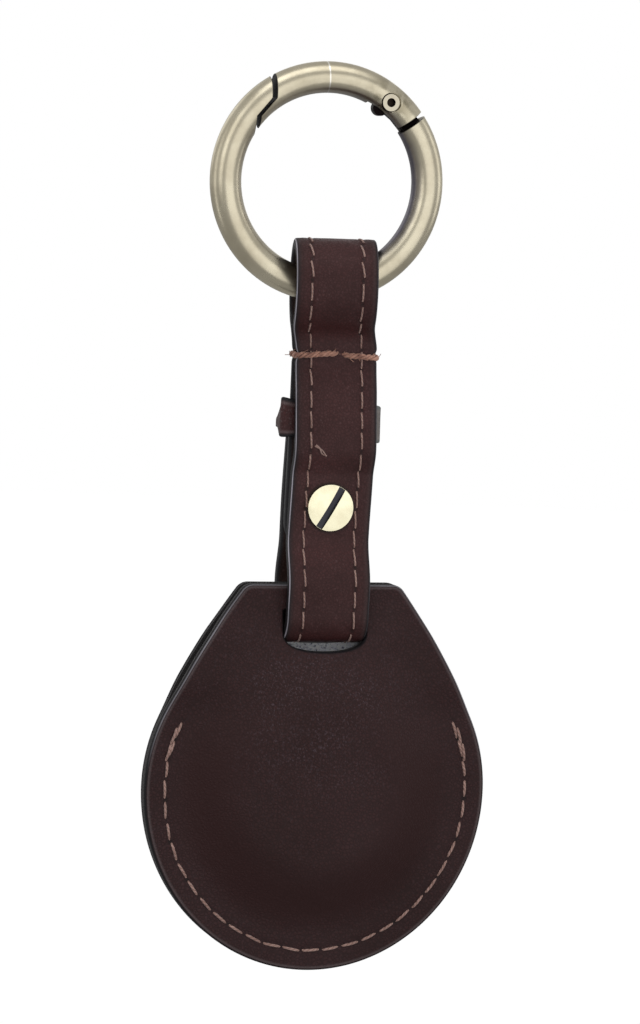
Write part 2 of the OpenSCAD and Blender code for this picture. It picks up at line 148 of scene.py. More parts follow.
def makeLeatherGrain():
    p = grainPlan
    tree, gin, gout = newTree("leatherGrain", "ShaderNodeTree", [
        ("Vector", "Vector", None), ("Cell Scale", "Float", 1400.0), ("Pore Share", "Float", 0.5),
        ("Crease Scale", "Float", 160.0), ("Crease Amount", "Float", 0.4),
        ("Fleck Scale", "Float", 2900.0), ("Fleck Low", "Float", 0.5),
    ], [("Height", "Float"), ("Pores", "Float"), ("Flecks", "Float")])
    where = gin.outputs["Vector"]
    warp = noiseNode(tree, where, p["warpScale"])
    pushed = addNode(tree, "ShaderNodeVectorMath", {
        0: warp.outputs["Color"], 1: (p["warp"],) * 3, 2: where}, operation="MULTIPLY_ADD")
    cells = addNode(tree, "ShaderNodeTexVoronoi", {"Vector": pushed.outputs[0],
                                                   "Scale": gin.outputs["Cell Scale"]},
                    feature="DISTANCE_TO_EDGE")
    domes = remap(tree, cells.outputs["Distance"], 0.0, p["domeEdge"])
    fine = noiseNode(tree, where, p["fineScale"], detail=4.0, rough=0.6)
    crease = noiseNode(tree, pushed.outputs[0], gin.outputs["Crease Scale"],
                       detail=6.0, rough=0.62, distort=0.6)
    offCrease = sums(tree, "ABSOLUTE", sums(tree, "SUBTRACT", crease.outputs["Fac"], 0.5))
    creaseLine = remap(tree, offCrease, 0.0, p["creaseEdge"])
    height = sums(tree, "ADD", sums(tree, "MULTIPLY", domes, gin.outputs["Pore Share"]),
                  sums(tree, "MULTIPLY", fine.outputs["Fac"], p["fine"]))
    height = sums(tree, "ADD", height,
                  sums(tree, "MULTIPLY", creaseLine, gin.outputs["Crease Amount"]))
    feed(tree, gout.inputs["Height"], height)
    feed(tree, gout.inputs["Pores"], sums(tree, "SUBTRACT", 1.0, domes))
    long = addNode(tree, "ShaderNodeMapping", {"Vector": where,
                                               "Scale": (1.0, 1.0, p["fleckStretch"])})
    fleck = noiseNode(tree, long.outputs[0], gin.outputs["Fleck Scale"],
                      detail=4.0, rough=0.75, distort=0.35)
    patch = noiseNode(tree, where, p["patchScale"])
    over = sums(tree, "SUBTRACT", fleck.outputs["Fac"], gin.outputs["Fleck Low"])
    thickly = remap(tree, patch.outputs["Fac"], p["patchFrom"], p["patchTo"], p["patchLeast"], 1.0)
    feed(tree, gout.inputs["Flecks"],
         sums(tree, "MULTIPLY", remap(tree, over, 0.0, p["fleckSoft"]), thickly))
    return tree


def makeColourDrift():
    tree, gin, gout = newTree("colourDrift", "ShaderNodeTree", [
        ("Vector", "Vector", None), ("Base", "Color", None), ("Drifted", "Color", None),
        ("Scale", "Float", 90.0), ("Amount", "Float", 1.0),
    ], [("Color", "Color"), ("Mask", "Float")])
    cloud = noiseNode(tree, gin.outputs["Vector"], gin.outputs["Scale"], detail=5.0, rough=0.55)
    mask = sums(tree, "MULTIPLY", remap(tree, cloud.outputs["Fac"], low=0.36, high=0.66),
                gin.outputs["Amount"], clamp=True)
    feed(tree, gout.inputs["Color"],
         mixColour(tree, mask, gin.outputs["Base"], gin.outputs["Drifted"]))
    feed(tree, gout.inputs["Mask"], mask)
    return tree


brushPlan = {
    "stretch": (1.0, 0.12, 1.0), "turn": (0.3, 0.5, 0.7), "hairScale": 5200.0,
    "hairFrom": 0.58, "hairTo": 0.72, "hairDepth": -0.35, "fine": 0.6,
    "blotFrom": 0.42, "blotTo": 0.68,
}


def makeBrushedMetal():
    p = brushPlan
    tree, gin, gout = newTree("brushedMetal", "ShaderNodeTree", [
        ("Vector", "Vector", None), ("Scale", "Float", 600.0), ("Tarnish Scale", "Float", 130.0),
    ], [("Height", "Float"), ("Tarnish", "Float"), ("Scratch", "Float")])
    where = gin.outputs["Vector"]
    fine = noiseNode(tree, where, gin.outputs["Scale"], detail=6.0, rough=0.7)
    stretched = addNode(tree, "ShaderNodeMapping", {"Vector": where, "Scale": p["stretch"],
                                                    "Rotation": p["turn"]})
    hair = noiseNode(tree, stretched.outputs[0], p["hairScale"])
    blot = noiseNode(tree, where, gin.outputs["Tarnish Scale"], detail=7.0, rough=0.66)
    scratch = remap(tree, hair.outputs["Fac"], p["hairFrom"], p["hairTo"])
    feed(tree, gout.inputs["Height"],
         sums(tree, "ADD", sums(tree, "MULTIPLY", fine.outputs["Fac"], p["fine"]),
              sums(tree, "MULTIPLY", scratch, p["hairDepth"])))
    feed(tree, gout.inputs["Tarnish"],
         remap(tree, blot.outputs["Fac"], p["blotFrom"], p["blotTo"]))
    feed(tree, gout.inputs["Scratch"], scratch)
    return tree


leatherGrain = makeLeatherGrain()
colourDrift = makeColourDrift()
brushedMetal = makeBrushedMetal()


def newMaterial(name):
    material = bpy.data.materials.new(name)
    material.use_nodes = True
    tree = material.node_tree
    return material, tree, tree.nodes["Principled BSDF"]


def objectVector(tree):
    return addNode(tree, "ShaderNodeTexCoord").outputs["Object"]


def attribute(tree, name):
    return addNode(tree, "ShaderNodeAttribute", attribute_name=name).outputs["Fac"]


def bumped(tree, shader, height, strength, distance):
    node = addNode(tree, "ShaderNodeBump", {"Height": height, "Strength": strength,
                                            "Distance": distance})
    feed(tree, shader.inputs["Normal"], node.outputs[0])


def drifting(tree, where, base, drifted, scale):
    return useGroup(tree, colourDrift, {"Vector": where, "Base": base, "Drifted": drifted,
                                        "Scale": scale, "Amount": 1.0})


def frontPlane(tree, at):
    # x and z of a place as a flat vector
    return addNode(tree, "ShaderNodeCombineXYZ", {"X": at.outputs["X"],
                                                  "Y": at.outputs["Z"]}).outputs[0]


def distanceTo(tree, at, spot):
    off = addNode(tree, "ShaderNodeVectorMath", {
        0: frontPlane(tree, at), 1: (spot[0] * mm, spot[1] * mm, 0)}, operation="DISTANCE")
    return off.outputs["Value"]


def below(tree, value, limit, fade):
    # 1 where a value in metres is under a limit in mm, with a soft edge
    return ramp(tree, value, (limit + fade, limit - fade))


# the middles of the screw and of the pouch's dome, x and z in mm
screwAt, domeAt = (1.5, -45.4), (0.0, -85.4)


# leather: grain, drifting colour, dark paint on the cut edges, painted shade at stitch holes and
# painted highlights, from attributes
def leatherMaterial(name, look):
    material, tree, shader = newMaterial(name)
    where = objectVector(tree)
    grain = useGroup(tree, leatherGrain, {
        "Vector": where, "Cell Scale": look["cell"], "Pore Share": look["pores"],
        "Crease Scale": look["creaseScale"], "Crease Amount": look["crease"],
        "Fleck Scale": look["fleckScale"], "Fleck Low": look["fleckLow"]})
    drift = drifting(tree, where, look["base"], look["drifted"], look["driftScale"])
    colour = mixColour(tree, sums(tree, "MULTIPLY", grain.outputs["Pores"], look["poreDark"]),
                       drift.outputs["Color"], look["dark"])
    at = addNode(tree, "ShaderNodeSeparateXYZ", {0: where})
    share = look["fleck"]
    if "sheenPatch" in look:
        # the leather's own flecks, drawn thickest in one patch in the upper middle as a painted
        # sheen, and less away from it
        sheenPatch = look["sheenPatch"]
        share = ramp(tree, distanceTo(tree, at, sheenPatch["at"]), sheenPatch["reach"], share,
                     share * sheenPatch["least"])
    colour = mixColour(tree, sums(tree, "MULTIPLY", grain.outputs["Flecks"], share),
                       colour, look["flecked"])
    if "flankShade" in look:
        # painted shade: smoother and darker where the dome falls away to the sides and the foot,
        # below a height
        flankShade, off = look["flankShade"], distanceTo(tree, at, domeAt)
        band = sums(tree, "MULTIPLY", ramp(tree, off, flankShade["inner"]),
                    ramp(tree, off, flankShade["outer"], 1.0, 0.0))
        band = sums(tree, "MULTIPLY", band,
                    ramp(tree, at.outputs["Z"], flankShade["height"], 0.0, flankShade["share"]))
        colour = mixColour(tree, band, colour, flankShade["colour"])
    if "screwShadow" in look:
        # painted shadow: a dark ring round the screw's head where it sits on the leather
        ring = ramp(tree, distanceTo(tree, at, screwAt), look["screwShadow"], look["screwShadowShare"], 0.0)
        colour = mixColour(tree, ring, colour, look["dark"])
    paint = attribute(tree, "edgePaintAndShade")
    # a light line near the edges, partly wear and partly painted sheen
    colour = mixColour(tree, attribute(tree, "wearAndSheen"), colour, look["wearSheenColour"])
    # painted shade at the stitch holes and towards the strap's edges
    colour = mixColour(tree, attribute(tree, "seam"), colour, look["dark"])
    colour = mixColour(tree, paint, colour, look["paint"])
    # painted highlights along the rounded edges, laid over everything else
    feed(tree, shader.inputs["Base Color"],
         mixColour(tree, attribute(tree, "paintedHighlight"), colour, look["highlightColour"]))
    rough = sums(tree, "ADD", look["rough"],
                 sums(tree, "MULTIPLY", drift.outputs["Mask"], look["roughDrift"]))
    rough = sums(tree, "ADD", rough,
                 sums(tree, "MULTIPLY", grain.outputs["Pores"], look["poreRough"]))
    feed(tree, shader.inputs["Roughness"],
         sums(tree, "SUBTRACT", rough, sums(tree, "MULTIPLY", paint, look["paintGloss"]),
              clamp=True))
    shader.inputs["Specular IOR Level"].default_value = look["specular"]
    flat = sums(tree, "MULTIPLY", grain.outputs["Height"],
                sums(tree, "SUBTRACT", 1.0, sums(tree, "MULTIPLY", paint, look["paintSmooth"])))
    bumped(tree, shader, flat, look["bump"], look["bumpDepth"])
    return material


strapLook = {
    "base": (0.062, 0.0188, 0.0188, 1), "drifted": (0.0415, 0.0128, 0.0126, 1),
    "dark": (0.012, 0.006, 0.0055, 1), "wearSheenColour": (0.19, 0.15, 0.15, 1),
    "paint": (0.0125, 0.0115, 0.0135, 1), "flecked": (0.135, 0.07, 0.073, 1),
    "highlightColour": (0.74, 0.69, 0.78, 1), "cell": 2300.0, "pores": 0.45, "poreDark": 0.42,
    "poreRough": 0.12, "fleck": 0.5, "fleckScale": 3300.0, "fleckLow": 0.545,
    "screwShadow": (3.3, 3.75), "screwShadowShare": 0.85,
    "creaseScale": 230.0, "crease": 0.3, "driftScale": 120.0,
    "rough": 0.42, "roughDrift": 0.1, "specular": 0.22, "paintGloss": 0.0, "paintSmooth": 0.75,
    "bump": 0.6, "bumpDepth": 0.00007,
}
pouchLook = {
    "base": (0.0405, 0.0152, 0.0156, 1), "drifted": (0.0312, 0.011, 0.0107, 1),
    "dark": (0.011, 0.0075, 0.0075, 1), "wearSheenColour": (0.2, 0.17, 0.175, 1),
    "paint": (0.0105, 0.0095, 0.011, 1), "flecked": (0.102, 0.072, 0.088, 1),
    "highlightColour": (0.42, 0.4, 0.44, 1), "cell": 2100.0, "pores": 0.55, "poreDark": 0.5,
    "poreRough": 0.12, "fleck": 0.75, "fleckScale": 3500.0, "fleckLow": 0.53,
    "sheenPatch": {"at": (0.0, -73.0), "reach": (7.0, 17.0), "least": 0.25},
    "flankShade": {"colour": (0.0275, 0.0089, 0.0087, 1), "inner": (9, 14), "outer": (17, 20.5),
              "height": (-72, -82), "share": 0.8},
    "creaseScale": 240.0, "crease": 0.2, "driftScale": 45.0,
    "rough": 0.47, "roughDrift": 0.08, "specular": 0.18, "paintGloss": -0.2, "paintSmooth": 0.75,
    "bump": 0.8, "bumpDepth": 0.00009,
}
keeperLook = dict(strapLook, flecked=(0.2, 0.16, 0.165, 1), fleck=0.75,
                  highlightColour=(0.42, 0.44, 0.41, 1))
del keeperLook["screwShadow"]
liningLook = dict(strapLook, base=(0.06, 0.03, 0.022, 1), drifted=(0.05, 0.026, 0.02, 1),
                  rough=0.55)

# suede: a pale nap with bright tips, partly painted glints, and dark specks, painted at the cut
# edges
suedeLook = {
    "base": (0.96, 0.97, 1.0, 1), "shade": (0.56, 0.58, 0.68, 1), "spark": (1.0, 1.0, 1.0, 1),
    "speck": (0.1, 0.1, 0.15, 1), "paint": (0.014, 0.011, 0.012, 1), "driftScale": 1500.0,
    "napScale": 1900.0, "sparks": (0.48, 0.58), "specks": (0.46, 0.37),
    "rough": 0.9, "sheen": 0.1, "bump": 1.0, "bumpDepth": 0.00035,
}


def suedeMaterial(name, look):
    material, tree, shader = newMaterial(name)
    where = objectVector(tree)
    drift = drifting(tree, where, look["base"], look["shade"], look["driftScale"])
    nap = noiseNode(tree, where, look["napScale"], detail=5.0, rough=0.75).outputs["Fac"]
    colour = mixColour(tree, remap(tree, nap, *look["sparks"]), drift.outputs["Color"],
                       look["spark"])
    colour = mixColour(tree, remap(tree, nap, *look["specks"]), colour, look["speck"])
    # edge paint, and a painted shade band near the pouch's mouth
    feed(tree, shader.inputs["Base Color"],
         mixColour(tree, attribute(tree, "edgePaintAndShade"), colour, look["paint"]))
    shader.inputs["Roughness"].default_value = look["rough"]
    shader.inputs["Sheen Weight"].default_value = look["sheen"]
    bumped(tree, shader, nap, look["bump"], look["bumpDepth"])
    return material


# places on the gate ring painted dark as shade, in mm in the ring's own plane
ringPlan = {
    "pin": (8.379, 11.241), "spot": 1.34, "hinge": 36.4, "hingeHalf": 0.43, "tongueTo": 80.0,
    "tongueSlack": 0.6, "corner": (-8.32, 11.285), "noseReach": 2.1, "noseDrop": 2.55,
    "latchHalf": 0.39, "fade": 0.05, "partFrom": 5.0,
    "hollow": 0.72, "hollowFade": 0.03, "hollowFace": -1.96,
}


def ringShade(tree, at):
    p = ringPlan
    x, z, fade = at.outputs["X"], at.outputs["Z"], p["fade"]
    a = math.radians(p["hinge"])
    offLine = sums(tree, "ABSOLUTE", sums(tree, "SUBTRACT", sums(tree, "MULTIPLY", x, math.sin(a)),
                                          sums(tree, "MULTIPLY", z, math.cos(a))))
    onRight = sums(tree, "GREATER_THAN", x, p["partFrom"] * mm)
    hinge = sums(tree, "MULTIPLY", below(tree, offLine, p["hingeHalf"], fade), onRight)
    (cx, cz), reach, drop = p["corner"], p["noseReach"], p["noseDrop"]
    lineX = remap(tree, z, (cz - drop) * mm, cz * mm, (cx - reach) * mm, cx * mm)
    offLatch = sums(tree, "ABSOLUTE", sums(tree, "SUBTRACT", x, lineX))
    latch = sums(tree, "MULTIPLY", below(tree, offLatch, p["latchHalf"], fade),
                 sums(tree, "GREATER_THAN", z, p["partFrom"] * mm))
    inFront = sums(tree, "LESS_THAN", at.outputs["Y"], 0.0)
    spot = sums(tree, "MULTIPLY", below(tree, distanceTo(tree, at, p["pin"]), p["spot"], fade),
                inFront)
    return sums(tree, "MAXIMUM", sums(tree, "MAXIMUM", hinge, latch), spot)


# the ring's finish, in mm: a painted dark reflection along its inner side, and patina in blots
# round the hinge pin
reflectionAndPatinaPlan = {
    "unevenScale": 420.0, "uneven": 0.4, "reach": (12.45, 13.45), "across": (-8.0, 10.0),
    "leftShare": 0.3, "nearPin": (1.8, 4.6), "pinShare": 0.7, "blotScale": 520.0,
    "blotFrom": 0.44, "blotTo": 0.6,
}


def innerReflection(tree, at):
    # painted dark reflection on the inner side of the ring, most of all on the right
    p, flat = reflectionAndPatinaPlan, frontPlane(tree, at)
    length = addNode(tree, "ShaderNodeVectorMath", {0: flat}, operation="LENGTH")
    uneven = noiseNode(tree, flat, p["unevenScale"], detail=3.0)
    reach = sums(tree, "MULTIPLY_ADD", uneven.outputs["Fac"], p["uneven"] * mm,
                 -p["uneven"] * mm / 2)
    reach = sums(tree, "ADD", length.outputs["Value"], reach)
    side = ramp(tree, at.outputs["X"], p["across"], p["leftShare"], 1.0)
    return sums(tree, "MULTIPLY", ramp(tree, reach, p["reach"], 1.0, 0.0), side)


def pinMottle(tree, at):
    p = reflectionAndPatinaPlan
    near = ramp(tree, distanceTo(tree, at, ringPlan["pin"]), p["nearPin"], p["pinShare"], 0.0)
    blot = noiseNode(tree, frontPlane(tree, at), p["blotScale"], detail=4.0)
    return sums(tree, "MULTIPLY", near,
                remap(tree, blot.outputs["Fac"], p["blotFrom"], p["blotTo"]))


def tongueShade(tree, at):
    # the ring's tongue and knuckle, between the cheeks of the gate
    p = ringPlan
    turn = sums(tree, "ARCTAN2", at.outputs["Z"], at.outputs["X"])
    past = sums(tree, "GREATER_THAN", turn, math.radians(p["hinge"] - p["tongueSlack"]))
    return sums(tree, "MULTIPLY", past,
                sums(tree, "LESS_THAN", turn, math.radians(p["tongueTo"])))


def pinShade(tree, at):
    # the hollow of the pin's head
    p = ringPlan
    inside = below(tree, distanceTo(tree, at, p["pin"]), p["hollow"], p["hollowFade"])
    return sums(tree, "MULTIPLY", inside,
                sums(tree, "GREATER_THAN", at.outputs["Y"], p["hollowFace"] * mm))


# the screw's head: its rim in mm, and its domed face, y = face + domed * distance ** 2, in metres
screwPlan = {"rim": 3.22, "fade": 0.02, "domed": 37.87, "face": -0.00278}


def slotShade(tree, at):
    # the screw's slot: everything inside the rim that lies deeper than the domed face
    p, off = screwPlan, distanceTo(tree, at, screwAt)
    face = sums(tree, "MULTIPLY_ADD", sums(tree, "MULTIPLY", off, off), p["domed"], p["face"])
    return sums(tree, "MULTIPLY", below(tree, off, p["rim"], p["fade"]),
                sums(tree, "GREATER_THAN", at.outputs["Y"], face))


# metals: satin with fine scratches, darker where tarnished, with painted shade where parts are shut
# away
metalPlan = {"hairRough": 0.06, "shutRough": 0.25, "seamSoft": 0.4, "bumpDepth": 0.00003}


def metalMaterial(name, look, shade=()):
    material, tree, shader = newMaterial(name)
    p, where = metalPlan, objectVector(tree)
    brushed = useGroup(tree, brushedMetal, {"Vector": where, "Scale": look["grain"],
                                            "Tarnish Scale": look["tarnishScale"]})
    tarnish = sums(tree, "MULTIPLY", brushed.outputs["Tarnish"], look["tarnish"], clamp=True)
    colour = mixColour(tree, tarnish, look["bright"], look["dark"])
    at = addNode(tree, "ShaderNodeSeparateXYZ", {0: where})
    if "seamAngle" in look:
        # the bright line across the gate
        turn = sums(tree, "ARCTAN2", at.outputs["Z"], at.outputs["X"])
        off = sums(tree, "ABSOLUTE", sums(tree, "SUBTRACT", turn, math.radians(look["seamAngle"])))
        line = remap(tree, off, look["seamHalf"] * p["seamSoft"], look["seamHalf"], 1.0, 0.0)
        colour = mixColour(tree, line, colour, look["seamColour"])
    rough = sums(tree, "ADD", look["rough"], sums(tree, "MULTIPLY", tarnish, look["roughDrift"]))
    rough = sums(tree, "ADD", rough,
                 sums(tree, "MULTIPLY", brushed.outputs["Scratch"], p["hairRough"]))
    if "innerReflectionColour" in look:
        # painted dark reflection along the ring's inner side, then patina round the pin
        colour = mixColour(tree, innerReflection(tree, at), colour, look["innerReflectionColour"])
        colour = mixColour(tree, pinMottle(tree, at), colour, look["mottled"])
    # painted shade in the gaps, hollows and slot
    for place in shade:
        mask = place(tree, at)
        colour = mixColour(tree, mask, colour, look["shut"])
        rough = sums(tree, "ADD", rough, sums(tree, "MULTIPLY", mask, p["shutRough"]))
    feed(tree, shader.inputs["Base Color"], colour)
    feed(tree, shader.inputs["Roughness"], rough)
    shader.inputs["Metallic"].default_value = 1.0
    bumped(tree, shader, brushed.outputs["Height"], look["bump"], p["bumpDepth"])
    return material


brassLook = {
    "bright": (0.66, 0.6, 0.455, 1), "dark": (0.4, 0.345, 0.24, 1), "grain": 700.0,
    "tarnishScale": 150.0, "tarnish": 0.5, "rough": 0.27, "roughDrift": 0.12, "bump": 0.22,
    "seamAngle": 92.0, "seamHalf": 0.009, "seamColour": (0.95, 0.92, 0.84, 1),
    "shut": (0.009, 0.006, 0.0065, 1), "innerReflectionColour": (0.13, 0.12, 0.14, 1),
    "mottled": (0.25, 0.215, 0.14, 1),
}
pinLook = dict(brassLook, bright=(0.56, 0.51, 0.4, 1), shut=(0.035, 0.026, 0.02, 1))
del pinLook["seamAngle"], pinLook["innerReflectionColour"]
goldLook = {
    "bright": (0.9, 0.85, 0.61, 1), "dark": (0.7, 0.62, 0.41, 1), "grain": 900.0,
    "tarnishScale": 620.0, "tarnish": 0.42, "rough": 0.17, "roughDrift": 0.1, "bump": 0.12,
    "shut": (0.05, 0.05, 0.057, 1),
}
steelLook = {
    "bright": (0.16, 0.15, 0.14, 1), "dark": (0.05, 0.05, 0.05, 1), "grain": 900.0,
    "tarnishScale": 500.0, "tarnish": 0.6, "rough": 0.4, "roughDrift": 0.1, "bump": 0.2,
}


# thread: two plies twisted together, with painted shade in the grooves between them, from the
# attributes that the stitch trees store
def threadMaterial(name, look):
    material, tree, shader = newMaterial(name)
    where = objectVector(tree)
    drift = drifting(tree, where, look["base"], look["shade"], look["driftScale"])
    run, turn = attribute(tree, "threadRun"), attribute(tree, "threadTurn")
    phase = sums(tree, "ADD", sums(tree, "MULTIPLY", run, look["twist"]),
                 sums(tree, "MULTIPLY", turn, 4 * math.pi))
    lay = sums(tree, "MULTIPLY_ADD", sums(tree, "SINE", phase), 0.5, 0.5)
    fuzz = noiseNode(tree, where, look["fuzzScale"])
    # painted shade in the grooves between the plies
    between = remap(tree, lay, 0.0, look["between"], look["grooveShade"], 0.0)
    feed(tree, shader.inputs["Base Color"],
         mixColour(tree, between, drift.outputs["Color"], look["dark"]))
    shader.inputs["Roughness"].default_value = look["rough"]
    shader.inputs["Sheen Weight"].default_value = look["sheen"]
    height = sums(tree, "ADD", lay, sums(tree, "MULTIPLY", fuzz.outputs["Fac"], look["fuzz"]))
    bumped(tree, shader, height, look["bump"], look["bumpDepth"])
    return material


threadLook = {
    "base": (0.41, 0.25, 0.212, 1), "shade": (0.285, 0.158, 0.132, 1),
    "dark": (0.15, 0.075, 0.05, 1), "twist": 9500.0, "driftScale": 700.0, "fuzzScale": 9000.0,
    "fuzz": 0.3, "between": 0.35, "grooveShade": 0.75, "rough": 0.62, "sheen": 0.25,
    "bump": 0.8, "bumpDepth": 0.00008,
}
tieLook = dict(threadLook, base=(0.49, 0.255, 0.18, 1), shade=(0.2, 0.08, 0.055, 1),
               dark=(0.12, 0.055, 0.035, 1), twist=0.0)

strapLeather = leatherMaterial("strapLeather", strapLook)
pouchLeather = leatherMaterial("pouchLeather", pouchLook)
strapLiningLeather = leatherMaterial("strapLiningLeather", liningLook)
keeperLeather = leatherMaterial("keeperLeather", keeperLook)
greySuede = suedeMaterial("greySuede", suedeLook)
antiqueBrass = metalMaterial("antiqueBrass", brassLook, (ringShade,))
ringBrass = metalMaterial("ringBrass", brassLook, (ringShade, tongueShade))
pinBrass = metalMaterial("pinBrass", pinLook, (pinShade,))
paleGold = metalMaterial("paleGold", goldLook)
slottedGold = metalMaterial("slottedGold", goldLook, (slotShade,))
springSteel = metalMaterial("springSteel", steelLook)
tanThread = threadMaterial("tanThread", threadLook)
tieThread = threadMaterial("tieThread", tieLook)
dustyThread = threadMaterial("dustyThread", dict(threadLook, base=(0.3, 0.2, 0.175, 1)))
print("materials made")


# mesh helpers; all plans are in mm from the strap's middle, and are turned to metres here
def newPiece(name, points, faces, material, body, replaced=(), attributes=None, sharp=None):
    # sharp is the angle over which an edge is shaded sharp
    mesh = bpy.data.meshes.new(name)
    shift = strapPlan["aside"]
    mesh.from_pydata([((x + shift) * mm, y * mm, z * mm) for x, y, z in points], [], faces)
    mesh.validate()
    for label, values in (attributes or {}).items():
        layer = mesh.attributes.new(label, "FLOAT", "POINT")
        layer.data.foreach_set("value", values)
    mesh.materials.append(material)
    mesh.polygons.foreach_set("use_smooth", [True] * len(mesh.polygons))
    obj = addObject(name, mesh)
    if sharp:
        mesh.set_sharp_from_angle(angle=math.radians(sharp))
    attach(obj, body)
    if replaced:
        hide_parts(*replaced)
    return obj


def ease(s):
    c = min(max(s, 0.0), 1.0)
    return c * c * (3 - 2 * c)


def bell(distance, wide):
    return math.exp(-(distance / wide) ** 2)


def wander(seed, scale, *at):
    # smooth noise from -1 to 1; the plans hold a noise's seed and its scale
    return noise.noise(Vector(at) * scale + Vector((seed, seed * 0.7, -seed)))


# the strap's route in the middle plane, from its inner end to its back end
strapPlan = {
    "width": 11.7, "aside": 1.5, "leather": 1.1, "lining": 0.7, "gap": 0.1, "round": 0.32,
    "ringRadius": 14.5, "wireRadius": 2.2, "loopClear": 0.2, "loopClose": 8.3,
    "tieDepth": 9.6, "tieRun": 0.8, "pinch": 0.35, "pinchRun": 0.55,
    "keeperDepth": 18.9, "keeperZone": 3.6, "keeperThick": 1.0, "keeperClear": 0.15,
    "easeRun": 4.0, "screwDepth": 30.9, "screwFlat": 4.2, "innerEnd": 7.8, "backEnd": 4.8,
    "pouchDepth": 41.8, "topOut": 3.7, "turnDepth": 45.8, "turnRadius": 3.4,
    "twist": 0.17, "twistLow": 31.0, "twistHigh": 9.0,
    "sway": 0.58, "swayFrom": 5.0, "swayIn": 4.0, "swayTo": 7.0, "swayOut": 18.0,
    "swayBack": 0.42, "swayFront": 0.58, "swayY": 0.6, "swayLayers": 1.4,
    "stitchInset": 2.2, "stitchPitch": 2.84, "stitchSink": 0.05, "stitchEnds": 0.8,
    "joinSteps": 12, "loopSteps": 72, "turnSteps": 40, "halfLeast": 0.02,
}
thick = strapPlan["leather"] + strapPlan["lining"]
halfThick = thick / 2
layerPitch = thick + strapPlan["gap"]
frontY, middleY, backY = -layerPitch / 2, layerPitch / 2, 3 * layerPitch / 2
pouchY = middleY
strapZ = -strapPlan["ringRadius"]


def arcPoints(centre, radius, start, end, count):
    return [(centre[0] + radius * math.cos(math.radians(start + (end - start) * i / count)),
             centre[1] + radius * math.sin(math.radians(start + (end - start) * i / count)))
            for i in range(count + 1)]


def runPoints(stations, steps=24):
    found = []
    for (d0, y0), (d1, y1) in zip(stations, stations[1:]):
        for j in range(steps):
            found.append((y0 + (y1 - y0) * ease(j / steps), -(d0 + (d1 - d0) * j / steps)))
    return found


def strapRoute():
    p = strapPlan
    reach = p["ringRadius"] - math.sqrt((p["ringRadius"] - p["wireRadius"]) ** 2
                                        - (p["width"] / 2 + p["aside"]) ** 2)
    loop = reach + p["loopClear"] + halfThick
    join = (middleY ** 2 + p["loopClose"] ** 2 - loop ** 2) / (2 * (loop - middleY))
    angle, few = math.degrees(math.atan2(p["loopClose"], middleY + join)), p["joinSteps"]
    keeperFront = middleY - halfThick - p["keeperClear"] - p["keeperThick"]
    bulge = keeperFront - p["keeperClear"] - halfThick
    front = [(p["loopClose"], frontY), (p["tieDepth"] + p["tieRun"], frontY),
             (p["keeperDepth"] - p["keeperZone"], bulge),
             (p["keeperDepth"] + p["keeperZone"], bulge),
             (p["keeperDepth"] + p["keeperZone"] + p["easeRun"], frontY),
             (p["screwDepth"] + p["screwFlat"], frontY),
             (p["pouchDepth"], pouchY - p["topOut"]), (p["turnDepth"], pouchY - p["turnRadius"])]
    back = [(p["turnDepth"], pouchY + p["turnRadius"]), (p["pouchDepth"], pouchY + p["topOut"]),
            (p["screwDepth"] + p["screwFlat"], backY), (p["keeperDepth"] - p["backEnd"], backY)]
    return ([(middleY, -(p["screwDepth"] + p["innerEnd"]))]
            + arcPoints((middleY + join, -p["loopClose"]), join, 180, 180 - angle, few)[:-1]
            + arcPoints((0, 0), loop, -angle, 180 + angle, p["loopSteps"])
            + arcPoints((-middleY - join, -p["loopClose"]), join, angle, 0, few)[1:-1]
            + runPoints(front)
            + arcPoints((pouchY, -p["turnDepth"]), p["turnRadius"], 180, 360, p["turnSteps"])[:-1]
            + runPoints(back)
            + [(backY, -(p["keeperDepth"] - p["backEnd"]))])


class Route:
    # a line by its arc length: place, direction and outward side at any distance
    def __init__(self, points):
        self.points = [Vector(p) for p in points]
        self.at = [0.0]
        for a, b in zip(self.points, self.points[1:]):
            self.at.append(self.at[-1] + (b - a).length)
        self.length = self.at[-1]

    def place(self, s):
        s = min(max(s, 0.0), self.length)
        low, high = 0, len(self.at) - 1
        while high - low > 1:
            mid = (low + high) // 2
            if self.at[mid] <= s:
                low = mid
            else:
                high = mid
        span = self.at[high] - self.at[low] or 1.0
        return self.points[low].lerp(self.points[high], (s - self.at[low]) / span)

    def along(self, s, reach=0.45):
        return (self.place(s + reach) - self.place(s - reach)).normalized()

    def out(self, s):
        t = self.along(s)
        return Vector((t.y, -t.x))


strapLine = Route(strapRoute())
strapHalf = strapPlan["width"] / 2
stitchU = strapHalf - strapPlan["stitchInset"]
print(f"strap route {strapLine.length:.1f} mm long")


def strapStitchPlaces():
    pitch = strapPlan["stitchPitch"]
    count = int((strapLine.length - 2 * pitch) / pitch)
    first = (strapLine.length - count * pitch) / 2
    return [first + pitch * (i + 0.5) for i in range(count)]


strapStitches = strapStitchPlaces()


def twistX(y, z):
    # the loop is turned a little on the wire, and the strap comes straight by the keeper
    p = strapPlan
    return p["twist"] * y * ease((z + p["twistLow"]) / (p["twistLow"] - p["twistHigh"]))


def swayX(y, z):
    # between the loop and the screw the strap stands a little aside, its front layer most
    p = strapPlan
    run = (ease((-z - p["swayFrom"]) / p["swayIn"])
           * ease((p["screwDepth"] + p["swayTo"] + z) / p["swayOut"]))
    layer = ease((p["swayY"] - y) / p["swayLayers"])
    return p["sway"] * run * (p["swayBack"] + p["swayFront"] * layer)


def halfWidthAt(s):
    # the two ends are rounded in plan
    end = min(s, strapLine.length - s)
    if end >= strapHalf:
        return strapHalf
    return math.sqrt(max(strapHalf ** 2 - (strapHalf - end) ** 2, strapPlan["halfLeast"] ** 2))
